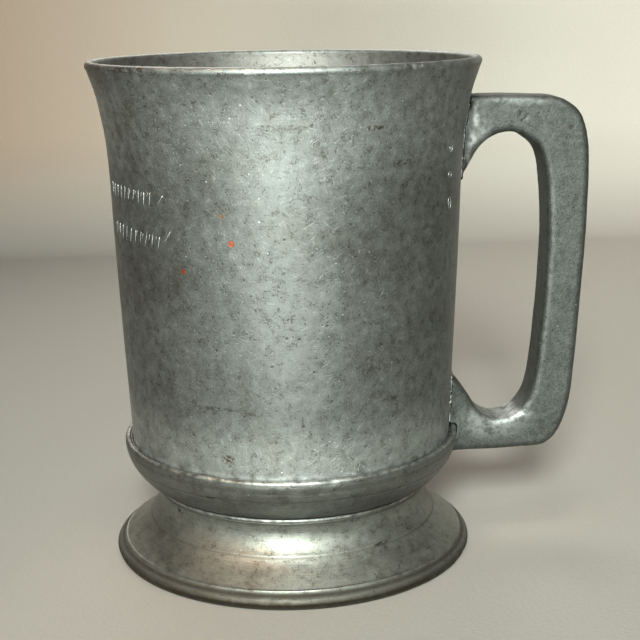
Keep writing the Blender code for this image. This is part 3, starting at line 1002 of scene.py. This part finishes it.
class TANKARD_OT_drum(bpy.types.Operator):
    """Turn the drum: a tapered tube with a flared mouth and a thick rounded lip"""

    bl_idname = "tankard.drum"
    bl_label = "Drum"

    def execute(self, context):
        sizes = context.scene.tankard_sizes
        finish = context.scene.tankard_finish
        lip = sizes.lip_radius
        top = DRUM_HIGH.z
        side = drum_side(sizes)
        outer = ring_lines(side, [top - 2.5 * MM], width=0.35 * MM, depth=0.03 * MM)
        thicker = 0.75 * MM
        fade = 5 * MM
        inner = [(r - thicker * math.exp((z - top) / fade), z) for r, z in inset(side, sizes.drum_wall)]
        round_lip = arc(lip - 1.1 * MM, top - 1.1 * MM, 1.1 * MM, 165, -35, 22)
        outline = round_lip + outer + inner[::-1]
        first_inner = len(round_lip) + len(outer) - 1
        red = shade(finish.rust_spot, 0.50)
        outer_metal = worn_pewter(
            "drum_pewter", finish.drum_metal, finish, rough=0.52,
            # painted highlight: the flared top and the lower end of the drum are lifted in colour, as if its
            # highlight ran further up and down
            painted_highlight_rings=[(113.0 * MM, 20.0 * MM, 0.58), (34.0 * MM, 13.0 * MM, 0.75)],
            bright_rings=[(top - 0.4 * MM, 1.1 * MM, 0.05), (30.7 * MM, 1.3 * MM, 0.35)],
            dark_rings=[(28.5 * MM, 1.0 * MM, 0.4)],
            smudges=DRUM_SMUDGES,
            spots=[(-111.9, 43.3 * MM, 86.3 * MM, 1.00 * MM, red),
                   (-128.6, 43.1 * MM, 79.2 * MM, 0.95 * MM, red),
                   (-114.6, 43.4 * MM, 92.4 * MM, 0.90 * MM, (0.17, 0.105, 0.075, 1.0))],
            lined=0.35, pitted=0.9, scratched=0.9)
        inner_metal = worn_pewter(
            "drum_inside_pewter", finish.inner_metal, finish, rough=0.58,
            dark_rings=[(30.0 * MM, 9.0 * MM, 0.6)], lined=0.9, pitted=1.0, scratched=0.3)
        drum = turned_body("drum_body", outline, (outer_metal, inner_metal), (first_inner, len(outline)),
                           DRUM_DENTS, wrap=1, columns=560, unevenness=0.0030, waves=1.1, seed=3.1)
        settle(drum, "drum_pewter", "drum")
        return {"FINISHED"}


class TANKARD_OT_base_cup(bpy.types.Operator):
    """Turn the base cup that the drum is soldered into, with its rounded lip"""

    bl_idname = "tankard.base_cup"
    bl_label = "Base cup"

    def execute(self, context):
        sizes = context.scene.tankard_sizes
        finish = context.scene.tankard_finish
        lip = sizes.cup_radius
        top = CUP_HIGH.z
        floor = CUP_LOW.z + 1.7 * MM
        ledge = DRUM_LOW.z - 0.3 * MM
        socket_radius = lip - 1.5 * MM
        turning = [(r * MM, floor - 0.05 * MM * math.cos(r * 1.6)) for r in np.arange(0.0, 33.0, 0.5)]
        bowl = smooth([
            (lip - 9.5 * MM, floor),
            (lip - 5.5 * MM, floor + 2.3 * MM),
            (lip - 3.4 * MM, ledge),
        ], 0.6 * MM)
        socket = [(socket_radius, ledge), (socket_radius, top - 1.6 * MM)]
        under = [(r * MM, CUP_LOW.z + 0.03 * MM * math.cos(r * 2.1)) for r in np.arange(34.5, -0.1, -0.5)]
        under[-1] = (0.0, under[-1][1])
        outline = turning + bowl + socket + cup_side(sizes) + under
        outer_metal = worn_pewter(
            "cup_pewter", finish.cup_metal, finish, rough=0.46,
            bright_rings=[(top - 0.15 * MM, 0.55 * MM, 0.36), (CUP_LOW.z + 0.6 * MM, 0.5 * MM, 0.25)],
            dark_rings=[(CUP_LOW.z + 0.2 * MM, 1.3 * MM, 0.8), (top - 5.3 * MM, 0.35 * MM, 0.4),
                        (top - 2.2 * MM, 0.8 * MM, 0.25)],
            smudges=CUP_SMUDGES, lined=1.2, pitted=0.7, scratched=0.5)
        inner_metal = worn_pewter(
            "cup_inside_pewter", finish.inner_metal, finish, rough=0.5,
            lined=0.3, pitted=1.0, scratched=0.4)
        inside = (-1, len(turning) + len(bowl))
        cup = turned_body("base_cup_body", outline, (outer_metal, inner_metal), inside,
                          CUP_DENTS, wrap=0, columns=460, unevenness=0.0022, waves=1.4, seed=7.7)
        settle(cup, "cup_pewter", "base_cup")
        return {"FINISHED"}


class TANKARD_OT_foot(bpy.types.Operator):
    """Turn the hollow foot: neck bead, cove, flange, sharp ridge and rolled edge"""

    bl_idname = "tankard.foot"
    bl_label = "Foot"

    def execute(self, context):
        sizes = context.scene.tankard_sizes
        finish = context.scene.tankard_finish
        edge = sizes.foot_radius
        neck_z = FOOT_HIGH.z
        sole = edge - 3.7 * MM
        bore = edge - 13.3 * MM
        underside = [(sole, 0.0)] + smooth([
            (sole - 0.3 * MM, 1.2 * MM),
            (edge - 7.5 * MM, 4.2 * MM),
            (edge - 10.7 * MM, 8.1 * MM),
            (bore, 14.0 * MM),
        ], 0.8 * MM) + [(bore, neck_z)]
        outer = foot_side(sizes)
        outline = outer + underside
        outer_metal = worn_pewter(
            "foot_pewter", finish.foot_metal, finish, rough=0.48,
            bright_rings=[(neck_z - 0.55 * MM, 0.5 * MM, 0.45), (3.95 * MM, 0.28 * MM, 0.06)],
            dark_rings=[(neck_z + 0.1 * MM, 0.5 * MM, 0.9), (neck_z - 1.6 * MM, 0.6 * MM, 0.5),
                        # the last two rings darken the band and the rolled edge below the ridge, darker
                        # towards the bottom
                        (9.35 * MM, 0.45 * MM, 0.5), (3.2 * MM, 0.6 * MM, 0.8), (1.3 * MM, 2.6 * MM, 1.0)],
            smudges=FOOT_SMUDGES, lined=1.3, pitted=0.35, scratched=0.6)
        inner_metal = worn_pewter(
            "foot_inside_pewter", finish.cup_metal, finish, rough=0.55,
            lined=1.3, pitted=0.8, scratched=0.2)
        foot = turned_body("foot_body", outline, (outer_metal, inner_metal), (len(outer), len(outline)),
                           FOOT_DENTS, wrap=1, columns=540, unevenness=0.0016, waves=1.3, seed=5.2)
        settle(foot, "foot_pewter", "foot")
        return {"FINISHED"}


class TANKARD_OT_handle(bpy.types.Operator):
    """Cast the handle: a square loop with rounded edges, trimmed to the drum and flared at its ends"""

    bl_idname = "tankard.handle"
    bl_label = "Handle"

    def execute(self, context):
        sizes = context.scene.tankard_sizes
        finish = context.scene.tankard_finish
        side = drum_side(sizes)
        outline = handle_outline(sizes, 0.9 * MM)
        handle = flat_bar("handle_body", outline, sizes.handle_width / 2, sizes.handle_round)
        carved(handle, lathe("drum_room", inset(side, -0.35 * MM)))
        carved(handle, lathe("cup_room", inset(cup_side(sizes), -0.25 * MM)))
        even_skin(handle, voxel=0.36 * MM)
        cast_skin(handle.data, side, HANDLE_DENTS, flare=0.16, flare_length=6.5 * MM)
        metal = cast_pewter("handle_pewter", finish.cast_metal, finish, 0.64, HANDLE_HIGHLIGHTS_AND_WEAR, HANDLE_SMUDGES,
                            edge=sizes.handle_width / 2)
        handle.data.materials.append(metal)
        settle(handle, "cast_pewter", "handle")
        return {"FINISHED"}


class TANKARD_OT_seam_solder(bpy.types.Operator):
    """Run solder round the drum's foot and round the bore of the hollow foot"""

    bl_idname = "tankard.seam_solder"
    bl_label = "Seam solder"

    def execute(self, context):
        sizes = context.scene.tankard_sizes
        finish = context.scene.tankard_finish
        metal = rough_solder("seam_solder", finish.solder, finish.tarnish)
        turns = range(360)
        groove = [on_axis(a, sizes.cup_radius - 1.62 * MM, CUP_HIGH.z - 0.62 * MM) for a in turns]
        drum_seam = solder_bead("drum_seam_bead", groove, metal, closed=True, radius=0.34 * MM,
                                lump_height=0.10 * MM, lump_fineness=900.0, seed=1.3)
        settle(drum_seam, "solder", "drum_seam_solder")
        bore = sizes.foot_radius - 13.3 * MM
        corner = [on_axis(a, bore - 0.45 * MM, FOOT_HIGH.z - 0.55 * MM) for a in turns]
        foot_seam = solder_bead("foot_seam_bead", corner, metal, closed=True, radius=0.70 * MM,
                                lump_height=0.30 * MM, lump_fineness=350.0, seed=4.6)
        settle(foot_seam, "solder", "foot_seam_solder")
        return {"FINISHED"}


class TANKARD_OT_handle_solder(bpy.types.Operator):
    """Run lumpy solder round both ends of the handle"""

    bl_idname = "tankard.handle_solder"
    bl_label = "Handle solder"

    def execute(self, context):
        sizes = context.scene.tankard_sizes
        finish = context.scene.tankard_finish
        metal = rough_solder("joint_solder", finish.solder, finish.tarnish)
        dull_metal = rough_solder("dull_solder", shade(finish.solder, 0.42), finish.tarnish)
        side = drum_side(sizes)
        half_width = sizes.handle_width / 2 + 0.45 * MM

        def contact(z, y):
            """Where the side of the handle's end meets the drum."""
            reach = radius_at(side, z) + 0.28 * MM
            return (AXIS_X + math.sqrt(reach * reach - y * y), y, z)

        def around_end(start, turn, rise, steps):
            """A path up to the handle's pointed end on one side, round it and back on the other."""
            near = [contact(start + (turn - start) * i / steps, -half_width) for i in range(steps + 1)]
            angles = [math.pi * i / 12 for i in range(1, 12)]
            tip = [contact(turn + rise * math.sin(a), -half_width * math.cos(a)) for a in angles]
            return near + tip + [(x, -y, z) for x, y, z in near[::-1]]

        path = around_end(UPPER_PAD_HIGH.z - 2.2 * MM, UPPER_PAD_LOW.z + 0.9 * MM, -0.8 * MM, 30)
        bead = solder_bead("upper_handle_bead", path, dull_metal, closed=False, radius=0.36 * MM,
                           lump_height=0.24 * MM, lump_fineness=520.0, seed=8.1)
        settle(bead, "solder", "upper_handle_solder")

        path = around_end(LOWER_PAD_LOW.z - 0.2 * MM, LOWER_PAD_HIGH.z - 1.2 * MM, 0.7 * MM, 20)
        bead = solder_bead("lower_handle_bead", path, metal, closed=False, radius=0.50 * MM,
                           lump_height=0.36 * MM, lump_fineness=480.0, seed=2.9)
        settle(bead, "solder", "lower_handle_solder")
        return {"FINISHED"}


class TANKARD_OT_graver_cuts(bpy.types.Operator):
    """Cut two rows of slanting strokes and a column of blank punch marks into the drum"""

    bl_idname = "tankard.graver_cuts"
    bl_label = "Graver cuts"

    def execute(self, context):
        sizes = context.scene.tankard_sizes
        finish = context.scene.tankard_finish
        metal = cut_metal("cut_pewter", finish.worn_metal)
        side = drum_side(sizes)
        stroke = helper_object("stroke", sliver("stroke", 0.17 * MM, 1.9 * MM, 0.07 * MM))
        hair = helper_object("hair", sliver("hair", 0.11 * MM, 1.3 * MM, 0.05 * MM))
        punch = helper_object("punch", blank_punch("punch", 0.85 * MM, 1.35 * MM, 0.07 * MM))
        stamps = {"stroke": stroke, "hair": hair, "punch": punch}
        for name, stamp, ends, count, slant, spread, smallest, largest, seed in STAMPED_ROWS:
            path = row_on_side(ends, side)
            cuts = run_tree(name, polyline(name + "_row", path), stamped_row_tree(), {
                "Stamp": stamps[stamp],
                "Count": count,
                "Axis": (AXIS_X, 0.0, 0.0),
                "Slant": math.radians(slant),
                "Slant Spread": math.radians(spread),
                "Smallest": smallest,
                "Largest": largest,
                "Scatter": 0.22 * MM,
                "Seed": seed,
                "Metal": metal,
            })
            settle(cuts, "drum_pewter")
        for stamp in stamps.values():
            discard(stamp)
        return {"FINISHED"}


class TANKARD_OT_stage(bpy.types.Operator):
    """Set the pale sweep, the soft lights and the camera"""

    bl_idname = "tankard.stage"
    bl_label = "Stage"

    def execute(self, context):
        stage = context.scene.tankard_stage
        make_sweep(stage)
        make_lights()
        make_world(context.scene)
        make_camera(context.scene, stage)
        return {"FINISHED"}


# ---------------------------------------------------------------------------
# Small stamps and the stage
# ---------------------------------------------------------------------------
def sliver(name, half_width, half_length, height):
    """The burr of one graver stroke: a long low lozenge, pointed at both ends."""
    bm = bmesh.new()
    rim = []
    for along, across in ((-1, 0), (-0.45, 0.8), (0.35, 1), (1, 0), (0.35, -1), (-0.45, -0.8)):
        rim.append(bm.verts.new((across * half_width, along * half_length, 0.0)))
    crest = [bm.verts.new((0.0, along * half_length, height)) for along in (-0.5, 0.4)]
    root = bm.verts.new((0.0, 0.0, -height))
    bm.faces.new((rim[0], rim[1], crest[0]))
    bm.faces.new((rim[0], crest[0], rim[5]))
    bm.faces.new((rim[1], rim[2], crest[1], crest[0]))
    bm.faces.new((rim[5], crest[0], crest[1], rim[4]))
    bm.faces.new((rim[2], rim[3], crest[1]))
    bm.faces.new((rim[3], rim[4], crest[1]))
    for first, second in zip(rim, rim[1:] + rim[:1]):
        bm.faces.new((second, first, root))
    return finished_mesh(name, bm)


def blank_punch(name, half_width, half_length, thickness):
    """The raised rim round a blank oval punch mark."""
    bm = bmesh.new()
    rings = []
    turns = 20
    for i in range(turns):
        angle = 2 * math.pi * i / turns
        ring = []
        for out, up in ((-1, 0), (0, 0.8), (1, 0), (0, -0.8)):
            x = math.cos(angle) * (half_width + out * thickness)
            y = math.sin(angle) * (half_length + out * thickness)
            ring.append(bm.verts.new((x, y, up * thickness)))
        rings.append(ring)
    for ring, following in zip(rings, rings[1:] + rings[:1]):
        for i in range(4):
            j = (i + 1) % 4
            bm.faces.new((ring[i], ring[j], following[j], following[i]))
    return finished_mesh(name, bm)


def row_on_side(ends, side):
    """Points on the drum from one (bearing, height in millimetres) to another."""
    (from_bearing, from_height), (to_bearing, to_height) = ends
    points = []
    for i in range(41):
        share = i / 40
        height = (from_height + share * (to_height - from_height)) * MM
        bearing = from_bearing + share * (to_bearing - from_bearing)
        points.append(on_axis(bearing, radius_at(side, height) + 0.01 * MM, height))
    return points


def make_sweep(stage):
    """A pale floor that curves up into a pale wall behind the tankard."""
    half_width = 2.4
    front_y = -2.2
    wall_y = 0.46
    wall_top = 2.2
    bend = 0.05
    bent = [(wall_y - bend + bend * math.sin(math.radians(a)), bend - bend * math.cos(math.radians(a)))
            for a in range(0, 91, 6)]
    outline = [(front_y, 0.0)] + bent + [(wall_y, wall_top)]
    bm = bmesh.new()
    left = [bm.verts.new((-half_width, y, z)) for y, z in outline]
    right = [bm.verts.new((half_width, y, z)) for y, z in outline]
    for i in range(len(outline) - 1):
        bm.faces.new((left[i], right[i], right[i + 1], left[i + 1]))
    mesh = bpy.data.meshes.new("studio_sweep")
    bm.to_mesh(mesh)
    bm.free()
    mesh.shade_smooth()
    sweep = helper_object("studio_sweep", mesh)
    sweep.data.materials.append(plain_paper(
        "sweep_paper", stage.floor_colour, stage.wall_colour, stage.shaded_wall_colour))


def seen_from(bearing, elevation, distance, height=0.06):
    """A place round the tankard: its bearing from the camera's side, in degrees to the right."""
    angle = math.radians(CAMERA_BEARING + bearing)
    rise = math.radians(elevation)
    level = distance * math.cos(rise)
    up = height + distance * math.sin(rise)
    return Vector((AXIS_X + level * math.cos(angle), level * math.sin(angle), up))


def soft_light(name, place, width, depth, power, colour, spread, aim=(AXIS_X, 0.0, 0.06)):
    """A rectangular lamp at a place, turned towards its aim; a narrow spread keeps its light there."""
    light = bpy.data.lights.new(name, "AREA")
    light.spread = math.radians(spread)
    light.shape = "RECTANGLE"
    light.size = width
    light.size_y = depth
    light.energy = power
    light.color = colour
    lamp = helper_object(name, light)
    lamp.location = place
    lamp.rotation_euler = (Vector(aim) - place).to_track_quat("-Z", "Y").to_euler()


def make_lights():
    """Two cool lamps from the camera's side, weak ones from above and behind, and one on the wall."""
    soft_light("key", seen_from(-4.0, 30.0, 0.95), width=0.22, depth=0.22, power=4.6,
               colour=(0.91, 1.0, 0.97), spread=75.0)
    soft_light("front", seen_from(-6.0, 1.5, 1.00), width=0.20, depth=0.06, power=0.42,
               colour=(0.91, 1.0, 0.98), spread=40.0, aim=(AXIS_X, 0.0, 0.115))
    soft_light("back", Vector((-0.06, 0.36, 0.42)), width=0.30, depth=0.20, power=0.75,
               colour=(1.0, 0.98, 0.94), spread=120.0)
    soft_light("overhead", seen_from(0.0, 79.0, 1.00), width=0.16, depth=0.20, power=0.30,
               colour=(1.0, 0.99, 0.95), spread=60.0)
    soft_light("warm_lamp", seen_from(-35.0, 52.0, 0.90), width=0.04, depth=0.12, power=0.014,
               colour=(1.0, 0.50, 0.22), spread=8.0, aim=(AXIS_X, 0.0, 0.01))
    soft_light("wall_light", Vector((0.75, 0.10, 0.36)), width=0.30, depth=0.30, power=1.6,
               colour=(1.0, 0.99, 0.97), spread=80.0, aim=(0.36, 0.46, 0.0))


def make_world(scene):
    world = bpy.data.worlds.new("studio")
    world.use_nodes = True
    background = world.node_tree.nodes["Background"]
    background.inputs["Color"].default_value = (0.82, 0.66, 0.48, 1.0)
    background.inputs["Strength"].default_value = 0.20
    scene.world = world
    scene.view_settings.view_transform = "Standard"


def make_camera(scene, stage):
    """The camera looks past the turning axis at a yaw, a pitch and a small roll."""
    bearing = stage.camera_bearing
    away = Vector((-math.cos(bearing), -math.sin(bearing), 0.0))
    ahead = Matrix.Rotation(-stage.camera_yaw, 3, "Z") @ away
    forward = ahead * math.cos(stage.camera_pitch) - Vector((0.0, 0.0, math.sin(stage.camera_pitch)))
    level = forward.cross(Vector((0.0, 0.0, 1.0))).normalized()
    upward = level.cross(forward)
    right = math.cos(stage.camera_roll) * level + math.sin(stage.camera_roll) * upward
    up = -math.sin(stage.camera_roll) * level + math.cos(stage.camera_roll) * upward
    camera = bpy.data.cameras.new("camera")
    camera.lens = stage.focal_length
    camera.sensor_width = 36.0
    camera.clip_start = 0.01
    view = helper_object("camera", camera)
    turn = Matrix((right, up, -forward)).transposed().to_4x4()
    spot = Vector((AXIS_X, 0.0, stage.camera_height)) - away * stage.camera_distance
    view.matrix_world = Matrix.Translation(spot) @ turn
    scene.camera = view


# ---------------------------------------------------------------------------
# Marks of age and of use, and painted highlights on the handle. Bearings are in degrees from the handle,
# lengths in millimetres
# ---------------------------------------------------------------------------
def in_metres(rows, first=1):
    """The rows with the four or five lengths from their first one on turned into metres."""
    return [row[:first] + tuple(length * MM for length in row[first:5]) + row[5:] for row in rows]


# bearing, radius, height, half width, half height, strength
DRUM_SMUDGES = in_metres([
    (-168.0, 48.2, 124.6, 17.0, 1.8, 1.3),
    (-143.0, 48.2, 124.5, 12.0, 1.5, 0.9),
    (-69.3, 45.0, 111.2, 4.0, 0.8, 1.1),
    (-95.0, 45.1, 112.0, 11.0, 0.8, 0.45),
    (-58.0, 44.0, 103.0, 5.5, 1.0, 0.8),
    (-74.0, 44.0, 102.4, 6.0, 0.7, 0.5),
    (-120.0, 41.7, 47.2, 8.5, 0.7, 0.7),
    (-106.0, 41.7, 46.6, 5.0, 0.9, 0.6),
    (-62.0, 41.7, 47.8, 4.0, 0.8, 0.5),
    (-116.4, 41.2, 35.0, 2.2, 1.6, 1.2),
    (-104.1, 43.3, 84.3, 1.4, 1.2, 0.9),
    (-101.0, 43.0, 69.0, 1.0, 0.8, 0.6),
    (70.0, 44.4, 108.0, 9.0, 1.0, 0.7),
    (118.0, 42.2, 60.0, 3.5, 2.4, 0.8),
    (155.0, 41.8, 47.0, 9.0, 0.9, 0.7),
])
CUP_SMUDGES = in_metres([
    (-122.0, 41.6, 25.2, 6.0, 0.35, 1.0),
    (-75.0, 41.9, 26.0, 4.0, 0.8, 0.5),
])
FOOT_SMUDGES = in_metres([
    (-150.1, 34.9, 15.6, 1.1, 1.0, 1.6),
    (-60.0, 37.0, 9.7, 4.0, 0.5, 1.0),
    (40.0, 38.0, 8.6, 5.0, 0.8, 0.6),
    (130.0, 41.0, 5.9, 6.0, 0.8, 0.5),
])
# bearing, radius, height, reach, depth
DRUM_DENTS = in_metres([
    (-59.7, 48.3, 124.6, 1.3, 0.40),
    (-57.4, 48.3, 124.4, 0.9, 0.30),
    (-62.8, 48.1, 124.8, 0.8, 0.25),
    (-48.3, 48.2, 124.6, 1.0, 0.25),
    (-104.0, 48.4, 124.2, 1.5, 0.20),
    (-126.0, 48.3, 124.5, 2.2, 0.22),
    (-141.0, 48.3, 124.0, 1.8, 0.20),
    (38.0, 48.2, 124.5, 1.8, 0.35),
    (112.0, 48.3, 124.3, 1.2, 0.30),
    (171.0, 48.3, 124.5, 2.6, 0.30),
    (-70.0, 42.4, 66.0, 9.0, 0.16),
    (-131.0, 42.0, 55.0, 8.0, 0.14),
    (95.0, 42.6, 70.0, 12.0, 0.35),
    (150.0, 43.4, 90.0, 7.0, 0.22),
])
CUP_DENTS = in_metres([
    (-121.0, 42.6, 30.3, 1.6, 0.14),
    (-98.0, 42.8, 30.2, 2.4, 0.12),
    (-83.0, 42.8, 30.2, 1.8, 0.16),
    (-60.0, 42.7, 30.3, 2.0, 0.14),
    (50.0, 42.7, 30.2, 2.4, 0.20),
    (-120.0, 41.6, 25.3, 1.6, 0.10),
])
FOOT_DENTS = in_metres([
    (-150.1, 34.9, 15.8, 1.0, 0.45),
    (-103.0, 45.7, 2.4, 1.8, 0.22),
    (-98.0, 45.8, 2.2, 1.2, 0.18),
    (-110.0, 43.6, 4.0, 1.3, 0.15),
    (-58.0, 37.2, 9.5, 2.2, 0.14),
    (-64.3, 38.0, 8.6, 1.2, 0.15),
    (-46.0, 41.8, 5.2, 1.2, 0.12),
    (-30.0, 45.9, 1.9, 2.2, 0.20),
    (60.0, 45.9, 1.9, 3.0, 0.30),
    (145.0, 43.6, 4.0, 2.4, 0.22),
])
# x from the turning axis, y, z, reach, depth
HANDLE_DENTS = in_metres([
    (58.4, -5.4, 110.2, 1.1, 0.22),
    (59.6, -5.4, 109.3, 1.0, 0.20),
    (71.5, -5.4, 106.5, 1.1, 0.18),
    (45.8, -6.0, 112.8, 2.0, 0.45),
    (69.1, -5.4, 28.9, 0.9, 0.15),
    (70.0, 5.4, 88.0, 1.4, 0.18),
    (62.0, 5.4, 29.0, 1.8, 0.16),
], first=0)
# strength, x from the turning axis, z, half width, half height
# painted highlights over rubbed wear at the handle's ends and along its top
HANDLE_HIGHLIGHTS_AND_WEAR = in_metres([
    (0.22, 60.0, 32.4, 4.6, 1.3),
    (0.20, 52.0, 31.0, 14.0, 6.0),
    (0.18, 47.6, 106.0, 4.4, 9.5),
    (0.50, 46.9, 109.4, 1.2, 2.6),
    (0.38, 45.9, 104.0, 1.6, 3.0),
    (0.36, 45.1, 99.4, 1.0, 2.8),
    (0.08, 58.0, 113.6, 14.0, 2.0),
])
HANDLE_SMUDGES = in_metres([
    (1.0, 58.9, 109.8, 1.5, 0.9),
    (1.0, 71.5, 106.5, 0.9, 1.1),
    (1.0, 46.0, 112.6, 1.4, 2.4),
])
# turn of the hairs, their width in millimetres, shift of the pattern, how bright a line has to be
HAIRLINES = (
    ((0.0, 32.0, 0.0), 0.26, 0.9, 0.68),
    ((0.0, -58.0, 0.0), 0.24, 0.4, 0.69),
    ((47.0, 0.0, 10.0), 0.24, 0.6, 0.69),
    ((-62.0, 0.0, -20.0), 0.24, 0.1, 0.69),
)
# name, stamp, (bearing, height) of both ends, count, slant, its spread, smallest, largest, seed
STAMPED_ROWS = (
    ("upper_graver_cuts", "stroke", [(-167.0, 95.8), (-141.0, 95.2)], 10, -12.0, 8.0, 1.0, 1.35, 3),
    ("lower_graver_cuts", "stroke", [(-165.0, 86.4), (-138.0, 85.4)], 10, -14.0, 9.0, 1.0, 1.45, 5),
    ("upper_hair_cuts", "hair", [(-168.0, 96.3), (-142.0, 95.9)], 9, -17.0, 5.0, 0.4, 0.8, 11),
    ("lower_hair_cuts", "hair", [(-166.0, 87.0), (-139.0, 86.1)], 9, -18.0, 5.0, 0.4, 0.8, 17),
    ("end_slashes", "stroke", [(-136.4, 95.2), (-134.2, 86.6)], 2, -38.0, 4.0, 0.95, 1.35, 8),
    ("blank_punches", "punch", [(-33.6, 104.4), (-32.4, 91.6)], 3, 0.0, 6.0, 0.55, 1.0, 2),
)


# ---------------------------------------------------------------------------
# Panel and registration
# ---------------------------------------------------------------------------
PIECES = (
    TANKARD_OT_drum,
    TANKARD_OT_base_cup,
    TANKARD_OT_foot,
    TANKARD_OT_handle,
    TANKARD_OT_seam_solder,
    TANKARD_OT_handle_solder,
    TANKARD_OT_graver_cuts,
    TANKARD_OT_stage,
)


class TANKARD_PT_build(bpy.types.Panel):
    """Lists the sizes, the colours and the pieces"""

    bl_idname = "TANKARD_PT_build"
    bl_label = "Pewter Tankard"
    bl_space_type = "VIEW_3D"
    bl_region_type = "UI"
    bl_category = "Tankard"

    def draw(self, context):
        for name in GROUPS:
            group = getattr(context.scene, name)
            box = self.layout.box()
            for label in group.__annotations__:
                box.prop(group, label)
        for piece in PIECES:
            self.layout.operator(piece.bl_idname)


GROUPS = {
    "tankard_sizes": TANKARD_PG_sizes,
    "tankard_finish": TANKARD_PG_finish,
    "tankard_stage": TANKARD_PG_stage,
}


def register():
    for cls in (*GROUPS.values(), *PIECES, TANKARD_PT_build):
        bpy.utils.register_class(cls)
    for name, cls in GROUPS.items():
        setattr(bpy.types.Scene, name, bpy.props.PointerProperty(type=cls))


def unregister():
    for name in GROUPS:
        delattr(bpy.types.Scene, name)
    for cls in (TANKARD_PT_build, *reversed(PIECES), *GROUPS.values()):
        bpy.utils.unregister_class(cls)


def main():
    register()
    bpy.ops.tankard.stage()
    bpy.ops.tankard.drum()
    bpy.ops.tankard.base_cup()
    bpy.ops.tankard.foot()
    bpy.ops.tankard.handle()
    bpy.ops.tankard.seam_solder()
    bpy.ops.tankard.handle_solder()
    bpy.ops.tankard.graver_cuts()


if __name__ == "__main__":
    main()
